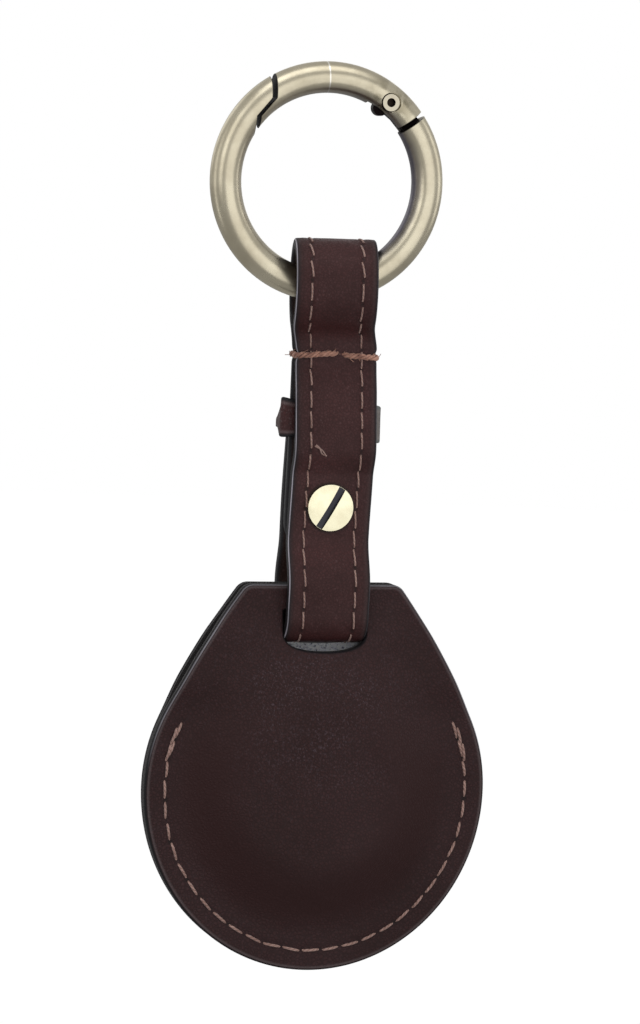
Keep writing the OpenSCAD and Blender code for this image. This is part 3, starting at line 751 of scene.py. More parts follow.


# the mesh of a ply, and how its outward face is worked; paint, wear with painted sheen, painted
# shade and the drop at the edge start at a distance from the edge; shine is a painted highlight
plyPlan = {
    "endSteps": 14, "step": 0.33, "tip": 0.002, "fineStep": 0.032, "coarseStep": 0.075,
    "fineReach": 0.6, "flatCount": 9, "roundShare": 0.45, "roundSteps": 3, "shineStep": 2,
    "sharp": 55,
    "swell": 0.05, "fineSwell": 0.03, "drop": 0.05, "dropFrom": 1.3, "dropRun": 1.0,
    "paintFrom": 0.42, "paintRun": 0.2, "wearAndSheen": 0.12, "wearFrom": 0.5, "wearAndSheenRun": 0.12,
    "edgeShade": 0.34, "edgeShadeFrom": 1.7, "edgeShadeRun": 1.5,
    "shine": 0.62, "shineDrift": 0.35, "rightShine": 0.2,
    "swellNoise": (3.0, 0.28), "fineNoise": (8.0, 0.9), "shineNoise": (6.0, 0.22),
}


def alongSteps():
    p, last = plyPlan, strapLine.length
    ends = [strapHalf * (1 - math.cos(math.pi / 2 * i / p["endSteps"]))
            for i in range(p["endSteps"] + 1)]
    found, s = ends[:-1], strapHalf
    while s < last - strapHalf:
        found.append(s)
        s += p["step"]
    found += [last - end for end in ends[::-1]]
    found[0], found[-1] = p["tip"], last - p["tip"]
    return found


def acrossShares():
    # places across the flat, closer together at the stitch lines
    u, found = -1.0, []
    while u < 1.0:
        found.append(u)
        near = abs(abs(u) * strapHalf - stitchU) < plyPlan["fineReach"]
        u += plyPlan["fineStep" if near else "coarseStep"]
    found.append(1.0)
    return found


def dent(plan, off, hole):
    # how deep a seam draws the leather in, and how dark its painted shade is, from the distance to
    # its line and the distance along it to the next hole
    dip = (plan["groove"] * bell(off, plan["grooveWide"])
           + plan["hole"] * bell(off, plan["holeWide"]) * bell(hole, plan["holeLong"]))
    return dip, bell(off, plan["shadeWide"]) * bell(hole, plan["shadeLong"])


strapDent = {"reach": 1.4, "groove": 0.07, "grooveWide": 0.42, "hole": 0.16, "holeWide": 0.34,
             "holeLong": 0.4, "shadeWide": 0.2, "shadeLong": 0.26}


def seamDip(s, u):
    off = abs(abs(u) - stitchU)
    if off > strapDent["reach"]:
        return 0.0, 0.0
    pitch = strapPlan["stitchPitch"]
    phase = ((s - strapStitches[0]) / pitch + 0.5) % 1.0
    return dent(strapDent, off, min(phase, 1 - phase) * pitch)


def buildStrapPly(name, low, high, outward, material, node):
    # a swept ply: its outward face is rounded and dented, its other face is flat
    p, f = strapPlan, plyPlan
    shares, steps = acrossShares(), f["roundSteps"]
    rows, paint, wearAndSheen, seam, paintedHighlight, points = [], [], [], [], [], []
    for s in alongSteps():
        c, out = strapLine.place(s), strapLine.out(s)
        half = halfWidthAt(s)
        if c.x < thick:
            # the tie stitch draws in the layers it goes round, not the back one
            half -= p["pinch"] * bell(c.y + p["tieDepth"], p["pinchRun"])
        r = min(p["round"], half * f["roundShare"])
        flat = half - r
        top, bottom = (high, low) if outward else (low, high)
        sign = 1 if outward else -1
        # painted highlight on the rounded outward corners, stronger on the left than on the right
        shine = f["shine"] + f["shineDrift"] * wander(*f["shineNoise"], s, 0, 0)
        ring = []

        def put(u, v, isEdge, wearAndSheenShare=0.0, hole=0.0, highlight=0.0):
            spot = c + out * v
            paintedHighlight.append(highlight)
            ring.append(len(points))
            points.append((u + twistX(spot.x, spot.y) + swayX(spot.x, spot.y), spot.x,
                           spot.y + strapZ))
            paint.append(isEdge)
            wearAndSheen.append(wearAndSheenShare)
            seam.append(hole)

        def putCorner(way, i, highlight):
            a = math.pi / 2 * i / steps
            put(way * (flat + r * math.sin(a)), top - sign * (r * (1 - math.cos(a)) + f["drop"]),
                1.0, highlight=highlight if outward and i == f["shineStep"] else 0.0)

        for share in shares:
            u = share * flat
            dip, hole = seamDip(s, u)
            swell = (f["swell"] * wander(*f["swellNoise"], u, s, 0)
                     + f["fineSwell"] * wander(*f["fineNoise"], u, s, 4))
            over = abs(u) - half
            drop = f["drop"] * ease((over + f["dropFrom"]) / f["dropRun"])
            # the seam's painted shade at its holes, and painted shade darkening towards each edge
            put(u, top - sign * (dip + drop - swell),
                ease((over + f["paintFrom"]) / f["paintRun"]),
                f["wearAndSheen"] * bell(over + f["wearFrom"], f["wearAndSheenRun"]),
                max(hole, f["edgeShade"] * ease((over + f["edgeShadeFrom"]) / f["edgeShadeRun"])))
        for i in range(1, steps + 1):
            putCorner(1, i, f["rightShine"] * shine)
        last = f["flatCount"] - 1
        for i in range(last + 1):
            put(half * (1 - 2 * i / last), bottom, 1.0 if i in (0, last) else 0.0)
        for i in range(steps, 0, -1):
            putCorner(-1, i, shine)
        rows.append(ring)
    n = len(rows[0])
    faces = []
    for a, b in zip(rows, rows[1:]):
        for i in range(n):
            j = (i + 1) % n
            face = (a[i], b[i], b[j], a[j])
            faces.append(face if outward else face[::-1])
    ends = (rows[0], rows[-1][::-1])
    faces += [tuple(e) if outward else tuple(e[::-1]) for e in ends]
    return newPiece(name, points, faces, material, "strap", (node,),
                    {"edgePaintAndShade": paint, "wearAndSheen": wearAndSheen, "seam": seam, "paintedHighlight": paintedHighlight},
                    f["sharp"])


plySplit = halfThick - strapPlan["leather"]
buildStrapPly("strapOuterLeather", plySplit, halfThick, True, strapLeather,
              "strap_outer")
buildStrapPly("strapLiningLeather", -halfThick, plySplit, False, strapLiningLeather,
              "strap_lining")
print("strap made")


# stitches: a Geometry Nodes tree that lays a twisted bead of thread on each point of a row
def stitchTree(material):
    tree, gin, gout = newTree("stitchRow", "GeometryNodeTree", [
        ("Geometry", "Geometry", None), ("Stitch Length", "Float", 0.002),
        ("Thread Radius", "Float", 0.0002), ("Rise", "Float", 0.0002), ("Dip", "Float", 0.0003),
        ("Sway", "Float", 0.05), ("Slant", "Float", 0.0), ("Length Drift", "Float", 0.06),
        ("Seed", "Int", 1),
    ], [("Geometry", "Geometry")])
    half = sums(tree, "MULTIPLY", gin.outputs["Stitch Length"], 0.5)
    down = sums(tree, "MULTIPLY", gin.outputs["Dip"], -1.0)
    startAt = addNode(tree, "ShaderNodeCombineXYZ", {"X": sums(tree, "MULTIPLY", half, -1.0),
                                                     "Z": down})
    midAt = addNode(tree, "ShaderNodeCombineXYZ", {"Z": sums(tree, "ADD", gin.outputs["Rise"],
                                                             gin.outputs["Dip"])})
    endAt = addNode(tree, "ShaderNodeCombineXYZ", {"X": half, "Z": down})
    arc = addNode(tree, "GeometryNodeCurveQuadraticBezier", {
        "Resolution": 7, "Start": startAt.outputs[0], "Middle": midAt.outputs[0],
        "End": endAt.outputs[0]})
    lengthAt = addNode(tree, "GeometryNodeSplineParameter")
    runStored = addNode(tree, "GeometryNodeStoreNamedAttribute", {
        "Geometry": arc.outputs[0], "Name": "threadRun", "Value": lengthAt.outputs["Length"]},
        data_type="FLOAT", domain="POINT")
    ring = addNode(tree, "GeometryNodeCurvePrimitiveCircle", {
        "Resolution": 8, "Radius": gin.outputs["Thread Radius"]}, mode="RADIUS")
    turnAt = addNode(tree, "GeometryNodeSplineParameter")
    turnStored = addNode(tree, "GeometryNodeStoreNamedAttribute", {
        "Geometry": ring.outputs[0], "Name": "threadTurn", "Value": turnAt.outputs["Factor"]},
        data_type="FLOAT", domain="POINT")
    bead = addNode(tree, "GeometryNodeCurveToMesh", {
        "Curve": runStored.outputs[0], "Profile Curve": turnStored.outputs[0], "Fill Caps": True})
    alongAt = addNode(tree, "GeometryNodeInputNamedAttribute", {"Name": "along"},
                      data_type="FLOAT_VECTOR")
    outAt = addNode(tree, "GeometryNodeInputNamedAttribute", {"Name": "out"},
                    data_type="FLOAT_VECTOR")
    # sockets 2 and 3 of a random value are its least and its most
    sway = addNode(tree, "FunctionNodeRandomValue", {
        2: sums(tree, "MULTIPLY", gin.outputs["Sway"], -1.0), 3: gin.outputs["Sway"],
        "Seed": gin.outputs["Seed"]}, data_type="FLOAT")
    toAlong = addNode(tree, "FunctionNodeAlignRotationToVector", {"Vector": alongAt.outputs[0]},
                      axis="X")
    toOut = addNode(tree, "FunctionNodeAlignRotationToVector", {
        "Rotation": toAlong.outputs[0], "Vector": outAt.outputs[0]}, axis="Z", pivot_axis="X")
    swayTurn = addNode(tree, "FunctionNodeAxisAngleToRotation", {
        "Axis": (0, 0, 1), "Angle": sums(tree, "ADD", gin.outputs["Slant"], sway.outputs[1])})
    turned = addNode(tree, "FunctionNodeRotateRotation", {
        "Rotation": toOut.outputs[0], "Rotate By": swayTurn.outputs[0]}, rotation_space="LOCAL")
    drift = gin.outputs["Length Drift"]
    size = addNode(tree, "FunctionNodeRandomValue", {
        2: sums(tree, "SUBTRACT", 1.0, drift), 3: sums(tree, "ADD", 1.0, drift),
        "Seed": sums(tree, "ADD", gin.outputs["Seed"], 7.0)}, data_type="FLOAT")
    scale = addNode(tree, "ShaderNodeCombineXYZ", {"X": size.outputs[1], "Y": 1.0, "Z": 1.0})
    laid = addNode(tree, "GeometryNodeInstanceOnPoints", {
        "Points": gin.outputs["Geometry"], "Instance": bead.outputs[0],
        "Rotation": turned.outputs[0], "Scale": scale.outputs[0]})
    real = addNode(tree, "GeometryNodeRealizeInstances", {"Geometry": laid.outputs[0]})
    done = addNode(tree, "GeometryNodeSetMaterial", {"Geometry": real.outputs[0],
                                                     "Material": material})
    feed(tree, gout.inputs[0], done.outputs[0])
    return tree


stitchRow = stitchTree(tanThread)


def layStitches(name, places, body, sizes):
    # places: (centre, along, out) in mm; returns one plain mesh
    mesh = bpy.data.meshes.new(name + "Points")
    shift = Vector((strapPlan["aside"], 0, 0))
    mesh.from_pydata([(Vector(at) + shift) * mm for at, _, _ in places], [], [])
    for label, index in (("along", 1), ("out", 2)):
        layer = mesh.attributes.new(label, "FLOAT_VECTOR", "POINT")
        layer.data.foreach_set("vector", [c for place in places for c in place[index]])
    holder = addObject(name + "Points", mesh)
    modifier = holder.modifiers.new("stitchRow", "NODES")
    modifier.node_group = stitchRow
    ids = {item.name: item.identifier for item in stitchRow.interface.items_tree
           if item.item_type == "SOCKET" and item.in_out == "INPUT"}
    for label, value in sizes.items():
        modifier[ids[label]] = value
    holder.update_tag()
    depsgraph = bpy.context.evaluated_depsgraph_get()
    made = bpy.data.meshes.new_from_object(holder.evaluated_get(depsgraph))
    bpy.data.objects.remove(holder)
    made.name = name
    made.polygons.foreach_set("use_smooth", [True] * len(made.polygons))
    obj = addObject(name, made)
    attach(obj, body)
    return obj


strapThread = {"Stitch Length": 2.3 * mm, "Thread Radius": 0.138 * mm, "Rise": 0.16 * mm,
               "Dip": 0.12 * mm, "Sway": 0.05, "Slant": 0.06, "Length Drift": 0.05, "Seed": 4}


def strapRowPlaces(face):
    # face 1 is the outer leather, -1 the lining
    p, found = strapPlan, []
    for side in (-1, 1):
        for s in strapStitches:
            if min(s, strapLine.length - s) < strapHalf * p["stitchEnds"]:
                continue
            out2, along2 = strapLine.out(s) * face, strapLine.along(s)
            spot = strapLine.place(s) + out2 * (halfThick - p["stitchSink"])
            aside = twistX(spot.x, spot.y) + swayX(spot.x, spot.y)
            found.append(((side * stitchU + aside, spot.x, spot.y + strapZ),
                          (0, along2.x, along2.y), (0, out2.x, out2.y)))
    return found


layStitches("strapStitchesOuter", strapRowPlaces(1), "strap", strapThread)
layStitches("strapStitchesInner", strapRowPlaces(-1), "strap", strapThread)
print("strap stitches laid")


# the loose end of the strap's thread, lying on the front between the keeper and the screw
looseEnd = {"depth": 22.1, "search": 0.1, "run": 1.2, "start": 0.4, "across": 1.75, "bend": 0.1,
            "bends": 6, "thin": 0.1, "thick": 0.17, "apart": 0.7, "lift": 0.12, "turns": 0.8,
            "flat": 0.6, "count": 13, "sides": 8}


def buildLooseEnd():
    p = looseEnd
    steps = (i * p["search"] for i in range(int(strapLine.length / p["search"])))
    first = next(s for s in steps
                 if strapLine.place(s).x < 0 and strapLine.place(s).y < -p["depth"])
    path, last = [], p["count"] - 1
    for i in range(p["count"]):
        share = i / last
        s = first + p["run"] * share
        spot = strapLine.place(s) + strapLine.out(s) * (halfThick + p["thin"]
                                                        + p["lift"] * math.sin(math.pi * share))
        x = p["start"] - stitchU + p["across"] * share + p["bend"] * math.sin(p["bends"] * share)
        path.append(Vector((x + swayX(spot.x, spot.y), spot.x, spot.y + strapZ)))
    points, faces = [], []
    for turn in (0, 1):
        # two plies that open towards the tip
        ply = []
        for i, spot in enumerate(path):
            share = i / last
            w = math.pi * (turn + 2 * p["turns"] * share)
            off = p["thin"] * p["apart"] + (p["thick"] - p["thin"]) * share
            ply.append(spot + off * Vector((math.cos(w), -p["flat"] * math.sin(w), math.cos(w))))
        tube(points, faces, ply, p["thin"], p["sides"], closed=False)
    return newPiece("looseThreadEnd", points, faces, dustyThread, "strap")


# tie stitch: two loops, each of three twisted plies
tiePlan = {
    "thread": 0.8, "split": 0.5, "gap": 0.08, "sinkSide": 0.1, "sinkFace": 0.2, "step": 0.18,
    "plies": 3, "ply": 0.2, "sides": 8, "lay": 0.24, "layDrift": 0.3, "twist": 2.3,
    "levelAt": 0.3, "slopes": (0.5, -0.35), "wave": 0.2, "waveNoise": (2.0, 0.7),
    "layNoise": (5.0, 0.9),
    "fibres": 90, "fibre": 0.045, "fibreRoot": 0.5, "fibreLength": 1.15, "fibreLeast": 0.5,
    "fibreLift": 0.2, "fibreCurl": 1.5, "fibreSteps": 4, "fibreSides": 5, "seed": 5,
}


def roundedLoop(x0, x1, half, turn, step, cornerSteps=6):
    # evenly spaced places round a rectangle with round corners
    corner = [((x1 - turn, half - turn), 0), ((x0 + turn, half - turn), 90),
              ((x0 + turn, turn - half), 180), ((x1 - turn, turn - half), 270)]
    line = []
    for centre, start in corner:
        line += arcPoints(centre, turn, start, start + 90, cornerSteps)
    line.append(line[0])
    loop = Route(line)
    count = int(loop.length / step)
    return [loop.place(loop.length * i / count) for i in range(count)]


def outwardAt(loop, i):
    t = (loop[(i + 1) % len(loop)] - loop[i - 1]).normalized()
    return Vector((t.y, -t.x))


def tube(points, faces, path, radius, sides, closed=True):
    # adds a round tube along a path of Vectors; an open one gets capped ends
    n, first = len(path), len(points)
    for i, spot in enumerate(path):
        ahead, behind = (i + 1) % n, i - 1
        if not closed:
            ahead, behind = min(i + 1, n - 1), max(i - 1, 0)
        t = (path[ahead] - path[behind]).normalized()
        a = t.orthogonal() if i == 0 else (lastA - t * lastA.dot(t))
        a.normalize()
        lastA = a
        b = t.cross(a)
        for j in range(sides):
            w = 2 * math.pi * j / sides
            points.append(tuple(spot + (a * math.cos(w) + b * math.sin(w)) * radius))

    def gapAt(shift):
        # how badly the last ring meets the first when it is turned by some points
        last = first + (n - 1) * sides
        return sum((Vector(points[last + j]) - Vector(points[first + (j + shift) % sides])).length
                   for j in range(sides))

    for i in range(n if closed else n - 1):
        k = (i + 1) % n
        shift = min(range(sides), key=gapAt) if k == 0 else 0
        for j in range(sides):
            m = (j + 1) % sides
            a, b = first + i * sides + j, first + i * sides + m
            c = first + k * sides + (m + shift) % sides
            d = first + k * sides + (j + shift) % sides
            faces.append((a, b, c, d))
    if not closed:
        faces += [tuple(range(first + sides - 1, first - 1, -1)),
                  tuple(range(len(points) - sides, len(points)))]


def buildTieStitch():
    p, depth = tiePlan, strapPlan["tieDepth"]
    points, faces, spine = [], [], []
    thread, split, gap = p["thread"], p["split"], p["gap"]
    side = strapHalf - strapPlan["pinch"] + thread / 2 - p["sinkSide"]
    half = layerPitch / 2 + halfThick + thread / 2 - p["sinkFace"]
    loops = ((-side, split - thread / 2 - gap), (split + thread / 2 + gap, side))
    (waveSeed, waveScale), (laySeed, layScale) = p["waveNoise"], p["layNoise"]
    for number, (x0, x1) in enumerate(loops):
        loop = roundedLoop(x0, x1, half, thread, p["step"])
        n = len(loop)
        turns = round(n * p["step"] / p["twist"])
        for ply in range(p["plies"]):
            path = []
            for i, c in enumerate(loop):
                w = 2 * math.pi * (turns * i / n + ply / p["plies"])
                share = (c.x - x0) / (x1 - x0)
                dz = (share - p["levelAt"]) * p["slopes"][number] if c.y < 0 else 0.0
                dz += p["wave"] * wander(waveSeed + number, waveScale, c.x, c.y, 0)
                drift = p["layDrift"] * wander(laySeed + number, layScale, c.x, c.y, ply)
                lay = p["lay"] * (1 + drift)
                q = c + outwardAt(loop, i) * lay * math.cos(w)
                aside = twistX(q.y, -depth) + swayX(q.y, -depth)
                path.append(Vector((q.x + aside, q.y, strapZ - depth + dz + lay * math.sin(w))))
            tube(points, faces, path, p["ply"], p["sides"])
            spine.append(path)
    draw = random.Random(p["seed"])
    for _ in range(p["fibres"]):
        # short fibres that stand off the plies
        path = spine[draw.randrange(len(spine))]
        i = draw.randrange(len(path))
        run = (path[(i + 1) % len(path)] - path[i - 1]).normalized()
        off = Vector([draw.uniform(-1, 1) for _ in range(3)]).normalized()
        start, count = path[i] + off * p["ply"] * p["fibreRoot"], p["fibreSteps"]
        reach = p["fibreLength"] * draw.uniform(p["fibreLeast"], 1.0)
        hair = [start + run * reach * k / count
                + off * p["fibreLift"] * (k / count) ** p["fibreCurl"] for k in range(count + 1)]
        tube(points, faces, hair, p["fibre"], p["fibreSides"], closed=False)
    return newPiece("tieStitchThread", points, faces, tieThread, "strap",
                    ("tie_stitch",))


buildTieStitch()
buildLooseEnd()
print("tie stitch and loose end made")


# keeper: a closed band with rounded, painted edges, flared and drawn to a wedge at its left
keeperPlan = {
    "height": 5.2, "side": 0.3, "round": 0.3, "corner": 0.8, "step": 0.3, "outerSteps": 12,
    "innerSteps": 4, "roundSteps": 4, "tilt": 0.052, "wideRight": 0.3, "swell": 0.05,
    "swellNoise": (11.0, 0.4), "flare": 0.14, "flareFrom": 4.5, "flareRun": 2.5,
    "drawFrom": 3.5, "drawRun": 3.0, "drawDeep": 1.3, "drawTop": 0.14, "drawFoot": 0.55,
    "footLeast": 0.2, "leanOuter": 0.95, "leanInner": 0.2, "leanLow": 0.5, "leanHigh": 3.1,
    "paintFrom": 0.55, "paintRun": 0.25, "wearAndSheen": 0.4, "wearFrom": 0.7, "wearAndSheenRun": 0.2,
    "shine": 0.34, "shineAcross": 0.3, "shineFrom": 0.6, "shineRun": 0.5,
}


def keeperSection():
    # the band's cross-section: places through its thickness and up its height
    p = keeperPlan
    r, hh, ht = p["round"], p["height"] / 2, strapPlan["keeperThick"] / 2
    high, found = 2 * (hh - r), []
    for cx, cz, start in ((ht - r, hh - r, 0), (r - ht, hh - r, 90), (r - ht, r - hh, 180),
                          (ht - r, r - hh, 270)):
        if start == 0:
            n = p["outerSteps"]
            found += [(ht, r - hh + high * i / n) for i in range(1, n)]
        found += arcPoints((cx, cz), r, start, start + 90, p["roundSteps"])
        if start == 90:
            n = p["innerSteps"]
            found += [(-ht, hh - r - high * i / n) for i in range(1, n)]
    return found


def buildKeeper():
    p, depth, hh = keeperPlan, strapPlan["keeperDepth"], keeperPlan["height"] / 2
    ht, clear = strapPlan["keeperThick"] / 2, strapPlan["keeperClear"]
    x = strapHalf + p["side"] + ht
    low, high = middleY - halfThick - clear - ht, backY + halfThick + clear + ht
    mid, half = (low + high) / 2, (high - low) / 2
    loop = roundedLoop(-x, x + p["wideRight"], half, p["corner"], p["step"])
    section = keeperSection()
    n, m = len(loop), len(section)
    points, faces, paint, wearAndSheen, paintedHighlight = [], [], [], [], []
    for i, c in enumerate(loop):
        out = outwardAt(loop, i)
        for v, z in section:
            swell = p["swell"] * wander(*p["swellNoise"], c.x, c.y, z) if v > 0 else 0
            spot = c + out * (v + swell)
            flare = 1 + p["flare"] * ease((-spot.x - p["flareFrom"]) / p["flareRun"])
            side = ease((-spot.x - p["drawFrom"]) / p["drawRun"])
            draw = side * ease((spot.y + half) / (p["drawDeep"] * half))
            foot = max(draw, p["footLeast"] * side) * p["drawFoot"]
            flare -= draw * p["drawTop"] if z > 0 else foot
            lean = p["leanInner"] + (p["leanOuter"] - p["leanInner"]) * (v + ht) / (2 * ht)
            spot.x += draw * lean * min(max((z + p["leanLow"]) / p["leanHigh"], 0), 1)
            points.append((spot.x + twistX(spot.y + mid, -depth), spot.y + mid,
                           strapZ - depth + z * flare - p["tilt"] * spot.x))
            over = abs(z) - hh
            paint.append(ease((over + p["paintFrom"]) / p["paintRun"]))
            wearAndSheen.append(p["wearAndSheen"] * bell(over + p["wearFrom"], p["wearAndSheenRun"]) if v > 0 else 0.0)
            # painted highlight on the near right corner
            paintedHighlight.append(p["shine"] * ease((spot.x - x) / p["shineAcross"] + 1)
                           * ease((p["shineFrom"] - half - spot.y) / p["shineRun"]))
    for i in range(n):
        k = (i + 1) % n
        for j in range(m):
            q = (j + 1) % m
            faces.append((i * m + j, k * m + j, k * m + q, i * m + q))
    return newPiece("keeperBand", points, faces, keeperLeather, "keeper",
                    ("keeper_loop",),
                    {"edgePaintAndShade": paint, "wearAndSheen": wearAndSheen, "seam": [0.0] * len(points),
                     "paintedHighlight": paintedHighlight})


buildKeeper()
print("keeper made")


# pouch: outline, slot and dome as plans in mm, zero at the centre of the round
pouchPlan = {
    "round": 24.6, "sole": 25.7, "shoulder": 105.0, "shoulderAngle": 25.0, "rise": 29.1,
    "corner": 2.0, "hangsBack": 0.3, "leather": 1.0, "lining": 0.6, "edgeRound": 0.34,
    "dome": 4.1, "flat": 9.5, "foot": 20.4, "upShare": 0.85,
    "mouth": 1.0, "mouthEase": 6.2, "strip": 0.6, "stripHeight": 3.6, "stripEase": 4.0,
    "slotHeight": 5.8, "sag": 1.2, "backSlotHeight": 5.0, "backSag": 0.3, "slotSide": 0.1,
    "slotCorner": 1.4, "slotBend": 2.4,
    "seamRadius": 21.8, "seamSole": 22.8, "seamStart": 26.8, "seamRise": 10.0, "stitches": 31,
    "roundSteps": 96, "shoulderSteps": 44, "cornerSteps": 10, "topSteps": 14,
    "slotCornerSteps": 8, "slotSideSteps": 9, "slotTopSteps": 30, "slotFootSteps": 40,
}
pouchZ = strapZ - strapPlan["pouchDepth"] - pouchPlan["rise"]
panelThick = pouchPlan["leather"] + pouchPlan["lining"]


def pouchOutline():
    p = pouchPlan
    a = math.radians(p["shoulderAngle"])
    cx, cz = (p["round"] - p["shoulder"]) * math.cos(a), (p["round"] - p["shoulder"]) * math.sin(a)
    kz = p["rise"] - p["corner"]
    kx = cx + math.sqrt((p["shoulder"] - p["corner"]) ** 2 - (kz - cz) ** 2)
    angle = math.degrees(math.atan2(kz - cz, kx - cx))
    low = arcPoints((0, 0), p["round"], -90, p["shoulderAngle"], p["roundSteps"])[:-1]
    high = arcPoints((cx, cz), p["shoulder"], p["shoulderAngle"], angle, p["shoulderSteps"])[:-1]
    n = p["topSteps"]
    side = ([(x, z * p["sole"] / p["round"] if z < 0 else z) for x, z in low] + high
            + arcPoints((kx, kz), p["corner"], angle, 90, p["cornerSteps"])
            + [(kx * (1 - i / n), p["rise"]) for i in range(1, n)])
    return side + [(0, p["rise"])] + [(-x, z) for x, z in side[:0:-1]]


def slotOutline(height, sag):
    p = pouchPlan
    half = strapHalf + p["slotSide"]
    top = p["rise"] - p["stripHeight"]
    low, r, bend, power = top - height, 2 * p["slotSide"], sag + p["slotCorner"], p["slotBend"]
    right = arcPoints((half - r, top - r), r, 0, 90, p["slotCornerSteps"])
    left = arcPoints((r - half, top - r), r, 90, 180, p["slotCornerSteps"])
    n, m, k = p["slotFootSteps"], p["slotTopSteps"], p["slotSideSteps"]
    across = [-math.cos(math.pi * i / n) for i in range(n + 1)]
    lower = [(half * u, low + bend * (1 - (1 - abs(u) ** power) ** (1 / power))) for u in across]
    level = [(half - r - (2 * (half - r)) * i / m, top) for i in range(1, m)]
    leftSide = [(-half, top - r + (lower[0][1] - top + r) * i / k) for i in range(1, k)]
    rightSide = [(half, lower[-1][1] + (top - r - lower[-1][1]) * i / k) for i in range(1, k)]
    outline = right + level + left + leftSide + lower + rightSide
    return [(x + p["hangsBack"], z) for x, z in outline]


def halfGap(x, z):
    p = pouchPlan
    r = math.hypot(x, z * p["upShare"] if z > 0 else z * p["round"] / p["sole"])
    dome = ease((p["foot"] - r) / (p["foot"] - p["flat"]))
    strip = p["rise"] - p["stripHeight"]
    edge = (p["mouth"] * ease((z - p["seamRise"]) / p["mouthEase"])
            - (p["mouth"] - p["strip"]) * ease((z - strip + p["stripEase"]) / p["stripEase"]))
    return edge + (p["dome"] - edge) * dome


def inset(outline, distance):
    n, found = len(outline), []
    for i, (x, z) in enumerate(outline):
        ax, az = outline[i - 1]
        bx, bz = outline[(i + 1) % n]
        length = math.hypot(bx - ax, bz - az)
        found.append((x - (bz - az) / length * distance, z + (bx - ax) / length * distance))
    return found


def insideOf(x, z, outline):
    hit, n = False, len(outline)
    for i in range(n):
        ax, az = outline[i - 1]
        bx, bz = outline[i]
        if (az > z) != (bz > z) and x < (bx - ax) * (z - az) / (bz - az) + ax:
            hit = not hit
    return hit


# the triangulation of a panel: rings at its edges, and a grid of even triangles between them;
# every point keeps how far in from an edge it lies, grid points inTheMiddle, and slotMark is
# added round a slot
meshPlan = {
    "rings": (0.0, 0.1, 0.22, 0.36, 0.7), "grid": 0.62, "rowShare": 0.866, "half": 26,
    "high": 56, "margin": 1.1, "slotMargin": 1.0, "samePoint": 1e-5,
}
inTheMiddle, slotMark = 9.0, 20.0


def gridPoints(outer, hole):
    p = meshPlan
    limit, slotLimit = inset(outer, p["margin"]), inset(hole, -p["slotMargin"])
    step, share, found = p["grid"], p["rowShare"], []
    for j in range(int(p["high"] / (step * share))):
        z = -p["half"] + j * step * share
        for i in range(int(2 * p["half"] / step)):
            x = -p["half"] + (i + 0.5 * (j % 2)) * step
            if insideOf(x, z, limit) and not insideOf(x, z, slotLimit):
                found.append(Vector((x, z)))
    return found


def panelPlan(height, sag):
    # one flat triangulation for a panel's plies
    outer, hole = pouchOutline(), slotOutline(height, sag)
    points, edges, insets = [], [], []
    for outline, way, mark in ((outer, 1, 0.0), (hole, -1, slotMark)):
        n = len(outline)
        for d in meshPlan["rings"]:
            first = len(points)
            points += [Vector(q) for q in inset(outline, way * d)]
            insets += [d + mark] * n
            edges += [(first + i, first + (i + 1) % n) for i in range(n)]
    between = gridPoints(outer, hole)
    points += between
    insets += [inTheMiddle] * len(between)
    verts, _, faces, original, _, _ = delaunay_2d_cdt(points, edges, [], 0,
                                                      meshPlan["samePoint"])
    edgeOf = [min((insets[k] for k in found), default=inTheMiddle) for found in original]
    kept = []
    for face in faces:
        corners = [verts[i] for i in face]
        cx, cz = (sum(v[k] for v in corners) / len(face) for k in (0, 1))
        if insideOf(cx, cz, outer) and not insideOf(cx, cz, hole):
            turn = sum(a.x * b.y - b.x * a.y for a, b in zip(corners[-1:] + corners, corners))
            kept.append(tuple(face) if turn > 0 else tuple(face[::-1]))
    margin = [min(math.hypot(v.x - x, v.y - z) for x, z in outer) for v in verts]
    return [(v.x, v.y) for v in verts], kept, list(zip(edgeOf, margin))


frontPlan = panelPlan(pouchPlan["slotHeight"], pouchPlan["sag"])
backPlan = panelPlan(pouchPlan["backSlotHeight"], pouchPlan["backSag"])
print(f"pouch plans: {len(frontPlan[0])} and {len(backPlan[0])} points")


def pouchSeamSpots():
    p = pouchPlan
    start, end = 180 - p["seamStart"], 360 + p["seamStart"]
    step = (end - start) / p["stitches"]
    return [start + step * (i + 0.5) for i in range(p["stitches"])], step


seamAngles, seamStep = pouchSeamSpots()
pouchDent = {"reach": 1.6, "groove": 0.1, "grooveWide": 0.5, "hole": 0.2, "holeWide": 0.36,
             "holeLong": 0.42, "shadeWide": 0.22, "shadeLong": 0.28, "past": 0.3, "fade": 0.5}


def pouchSeam(x, z):
    # depth of the seam's draw at a point of the plan, and its painted shade at the holes
    p, d = pouchPlan, pouchDent
    if z < 0:
        z = z * p["seamRadius"] / p["seamSole"]
    off = abs(math.hypot(x, z) - p["seamRadius"])
    if off > d["reach"]:
        return 0.0, 0.0
    angle = math.degrees(math.atan2(z, x)) % 360
    if angle < seamAngles[0] - seamStep:
        angle += 360
    phase = (angle - seamAngles[0]) / seamStep + 0.5
    before, after = phase + d["past"], len(seamAngles) + d["past"] - phase
    if before < 0 or after < 0:
        return 0.0, 0.0
    hole = abs(phase - round(phase)) * math.radians(seamStep) * p["seamRadius"]
    fade = ease(before / d["fade"]) * ease(after / d["fade"])
    dip, dark = dent(d, off, hole)
    return dip * fade, dark * fade


swellPlan = {"wide": 0.3, "wideScale": 0.07, "middle": 0.1, "middleScale": 0.21, "fine": 0.03,
             "fineScale": 0.7, "to": 21.0, "fade": 5.0, "upShare": 0.9}


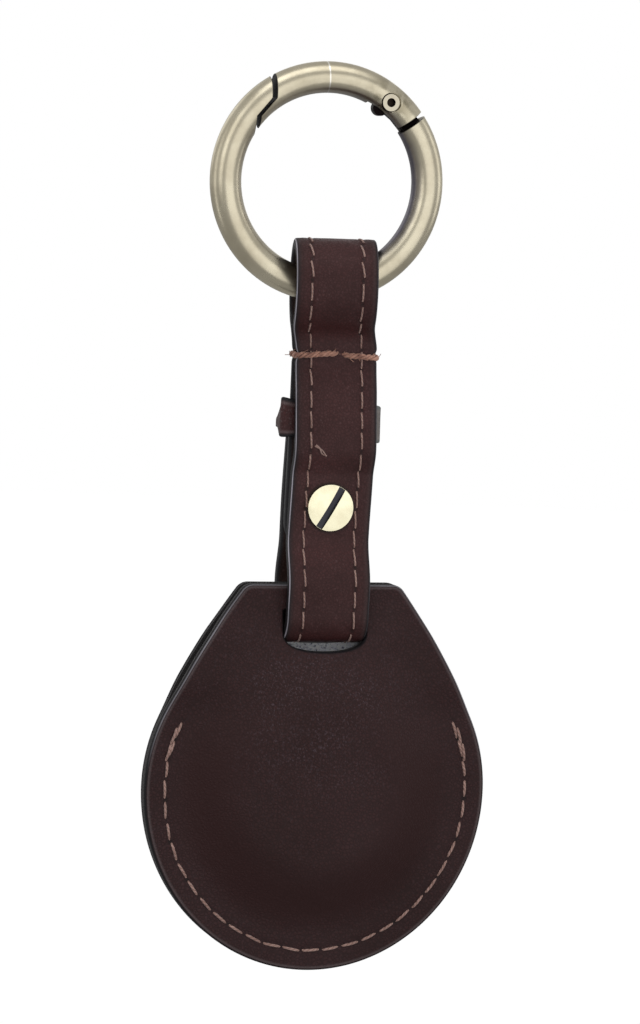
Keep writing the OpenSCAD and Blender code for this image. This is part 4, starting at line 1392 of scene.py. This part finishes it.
def leatherSwell(x, z, seed):
    # hand-made unevenness of the shell, dying out at its edges
    p = swellPlan
    soft = (p["wide"] * wander(seed, p["wideScale"], x, z, 0)
            + p["middle"] * wander(seed + 3, p["middleScale"], x, z, 2))
    fine = p["fine"] * wander(seed + 5, p["fineScale"], x, z, 1)
    r = math.hypot(x, z * p["upShare"] if z > 0 else z)
    return soft * ease((p["to"] - r) / p["fade"]) + fine


# how a panel is finished: paint, wear with painted sheen, and the painted highlight line start at a
# distance from its edge
panelFinish = {
    "rigid": 0.5, "paintTo": 0.3, "paintRun": 0.2, "wearAndSheen": 0.3, "sheenAt": 0.36, "wearAndSheenRun": 0.1,
    "lineFrom": 0.05, "lineTo": 0.15, "shine": 0.55, "shineDrift": 0.3,
    "shineNoise": (17.0, 0.12), "shineFrom": 2.0, "shineRun": 8.0,
    "mouthShadeMargin": 1.7, "mouthShadeRun": 0.5, "sharp": 50,
}


def openEdges(faces):
    # the edges that only one face uses, in that face's direction
    found = {}
    for face in faces:
        for edge in zip(face[-1:] + face, face):
            if edge[::-1] in found:
                del found[edge[::-1]]
            else:
                found[edge] = True
    return list(found)


def buildPanelPly(name, low, high, side, seed, material, node):
    # side -1 is the front, 1 the back; low and high are heights above the pocket's wall
    p, f = pouchPlan, panelFinish
    outerPly = low > 0
    planPoints, planFaces, planInset = frontPlan if side < 0 else backPlan
    n, r = len(planPoints), p["edgeRound"]
    points, paint, wearAndSheen, seam, paintedHighlight = [], [], [], [], []

    def put(x, z, h, isPainted, wearAndSheenShare=0.0, hole=0.0, shine=0.0):
        points.append((x - p["hangsBack"], pouchY + side * h, pouchZ + z))
        paint.append(isPainted)
        wearAndSheen.append(wearAndSheenShare)
        seam.append(hole)
        paintedHighlight.append(shine)

    for (x, z), (d, _) in zip(planPoints, planInset):
        # the face that shows: rounded at its edges, dented by the seam
        slotEdge = d >= slotMark
        d -= slotMark if slotEdge else 0.0
        isPainted = ease((f["paintTo"] - d) / f["paintRun"])
        if not outerPly:
            put(x, z, halfGap(x, z) + high, isPainted)
            continue
        swell = leatherSwell(x, z, seed) if d > f["rigid"] else 0.0
        dip, hole = pouchSeam(x, z)
        drop = r - math.sqrt(max(r * r - (r - min(d, r)) ** 2, 0.0))
        # painted highlight along the front panel's outer rim, brighter higher up
        line = side < 0 and f["lineFrom"] < d < f["lineTo"] and not slotEdge
        shine = ((f["shine"] + f["shineDrift"] * wander(*f["shineNoise"], x, z, 0))
                 * ease((z - f["shineFrom"]) / f["shineRun"]))
        put(x, z, halfGap(x, z) + high - drop - dip + swell, isPainted,
            0.0 if slotEdge else f["wearAndSheen"] * bell(d - f["sheenAt"], f["wearAndSheenRun"]),
            hole, shine if line else 0.0)
    for (x, z), (d, margin) in zip(planPoints, planInset):
        # the other face, flat but for the dents that reach through
        d -= slotMark if d >= slotMark else 0.0
        swell = leatherSwell(x, z, seed) if d > f["rigid"] and outerPly else 0.0
        # a dark band on the lining's inner face near the outline is a painted shade in the pouch's
        # mouth
        unshaded = 1.0 if outerPly else ease((margin - f["mouthShadeMargin"]) / f["mouthShadeRun"])
        atEdge = d < (f["paintTo"] if outerPly else f["lineFrom"])
        put(x, z, halfGap(x, z) + low + min(swell, 0.0), 1.0 if atEdge else 1.0 - unshaded)
    upper = [face if side < 0 else face[::-1] for face in planFaces]
    faces = upper + [tuple(i + n for i in face[::-1]) for face in upper]
    faces += [(b, a, a + n, b + n) for a, b in openEdges(upper)]
    return newPiece(name, points, faces, material, "pouch", (node,),
                    {"edgePaintAndShade": paint, "wearAndSheen": wearAndSheen, "seam": seam, "paintedHighlight": paintedHighlight},
                    f["sharp"])


for end, side, seed in (("front", -1, 21.0), ("back", 1, 33.0)):
    buildPanelPly(end + "PanelLeather", pouchPlan["lining"], panelThick, side, seed, pouchLeather,
                  end + "_leather")
    buildPanelPly(end + "PanelSuede", 0.0, pouchPlan["lining"], side, seed, greySuede,
                  end + "_lining")
print("pouch panels made")

pouchThread = {"Stitch Length": 2.3 * mm, "Thread Radius": 0.2 * mm, "Rise": 0.2 * mm,
               "Dip": 0.26 * mm, "Sway": 0.1, "Length Drift": 0.06, "Seed": 9}
# the seam is sewn back over itself at both ends: which stitches, and how far along the seam
pouchRow = {"proud": -0.1, "backProud": 0.02, "backOut": 0.3,
            "back": ((0, 0.35), (-1, -0.35), (1, 0.2), (-2, -0.2))}


def seamPlace(side, angle, out, proud):
    # centre, run and outward side of a stitch at an angle of the arc
    a = math.radians(angle)
    wide = pouchPlan["seamRadius"] + out
    high = wide * (pouchPlan["seamSole"] / pouchPlan["seamRadius"] if math.sin(a) < 0 else 1)
    x, z = wide * math.cos(a), high * math.sin(a)
    h = halfGap(x, z) + panelThick + proud
    run = Vector((-wide * math.sin(a), 0, high * math.cos(a))).normalized()
    return (x - pouchPlan["hangsBack"], pouchY + side * h, pouchZ + z), run, (0, side, 0)


def pouchRowPlaces(side):
    p = pouchRow
    return ([seamPlace(side, angle, 0.0, p["proud"]) for angle in seamAngles]
            + [seamPlace(side, seamAngles[i] + shift * seamStep, p["backOut"], p["backProud"])
               for i, shift in p["back"]])


layStitches("pouchStitchesFront", pouchRowPlaces(-1), "pouch", pouchThread)
layStitches("pouchStitchesBack", pouchRowPlaces(1), "pouch", pouchThread)
print("pouch stitches laid")

# metal pieces keep their solids
nodeFinish = {"ring_body": ringBrass, "ring_gate": antiqueBrass, "gate_pin": pinBrass,
              "gate_spring": springSteel, "clamp_screw": slottedGold, "screw_post": paleGold}
for name, material in nodeFinish.items():
    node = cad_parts[name]
    node.data.materials.clear()
    node.data.materials.append(material)


# stage: a plain pale floor that runs into the studio's white, dimmer in reflections than to the
# eye; each soft light's azimuth, elevation, distance, size and radiance
stagePlan = {"seen": 1.0, "reflected": 0.34, "worldReflected": 0.52, "wide": 6.0, "low": -0.5,
             "sides": 48, "paper": (0.02, 0.02, 0.02, 1), "aim": (0, 0, -0.05)}
lightPlan = {
    "frontRight": (15, -5, 0.6, (0.72, 0.72), 0.74),
    "keyLeft": (-50, 22, 0.75, (0.3, 0.6), 1.1),
    "topSoft": (0, 70, 0.6, (0.6, 0.35), 1.3),
    "sideLeft": (-96, 5, 0.7, (0.16, 0.7), 0.8),
    "sideRight": (88, 8, 0.8, (0.3, 0.6), 0.8),
    "behindLeft": (-150, 25, 0.8, (0.4, 0.5), 0.5),
    "behindRight": (160, 10, 0.8, (0.4, 0.5), 0.7),
}


def dimmedWhite(tree, reflected):
    path = addNode(tree, "ShaderNodeLightPath")
    return remap(tree, path.outputs["Is Camera Ray"], 0.0, 1.0, reflected, stagePlan["seen"])


def buildFloor():
    p, n = stagePlan, stagePlan["sides"]
    mesh = bpy.data.meshes.new("studioFloor")
    rim = [(p["wide"] * math.cos(a), p["wide"] * math.sin(a), p["low"])
           for a in (2 * math.pi * i / n for i in range(n))]
    mesh.from_pydata(rim, [], [tuple(range(n))])
    material, tree, shader = newMaterial("studioPaper")
    for label, value in (("Base Color", p["paper"]), ("Roughness", 1.0),
                         ("Specular IOR Level", 0.0), ("Emission Color", (1, 1, 1, 1)),
                         ("Emission Strength", dimmedWhite(tree, p["reflected"]))):
        feed(tree, shader.inputs[label], value)
    mesh.materials.append(material)
    obj = addObject("studioFloor", mesh)


def softLight(name, azimuth, elevation, far, size, radiance):
    # a soft box on a sphere round the holder; azimuth 0 is the front, 90 the right
    az, el = math.radians(azimuth), math.radians(elevation)
    aim = Vector(stagePlan["aim"])
    at = aim + far * Vector((math.sin(az) * math.cos(el), -math.cos(az) * math.cos(el),
                             math.sin(el)))
    light = bpy.data.lights.new(name, "AREA")
    light.shape, light.size, light.size_y = "RECTANGLE", size[0], size[1]
    light.energy = radiance * math.pi * size[0] * size[1]
    obj = addObject(name, light)
    obj.location = at
    obj.rotation_mode = "QUATERNION"
    obj.rotation_quaternion = (aim - at).to_track_quat("-Z", "Y")
    obj.visible_camera = False


def whiteWorld():
    world = bpy.data.worlds.new("studioWorld")
    world.use_nodes = True
    tree = world.node_tree
    background = tree.nodes["Background"]
    feed(tree, background.inputs["Color"], (1, 1, 1, 1))
    feed(tree, background.inputs["Strength"], dimmedWhite(tree, stagePlan["worldReflected"]))
    return world


buildFloor()
for name, settings in lightPlan.items():
    softLight(name, *settings)
scene.world = whiteWorld()
scene.view_settings.view_transform = "Standard"
print("stage lit")
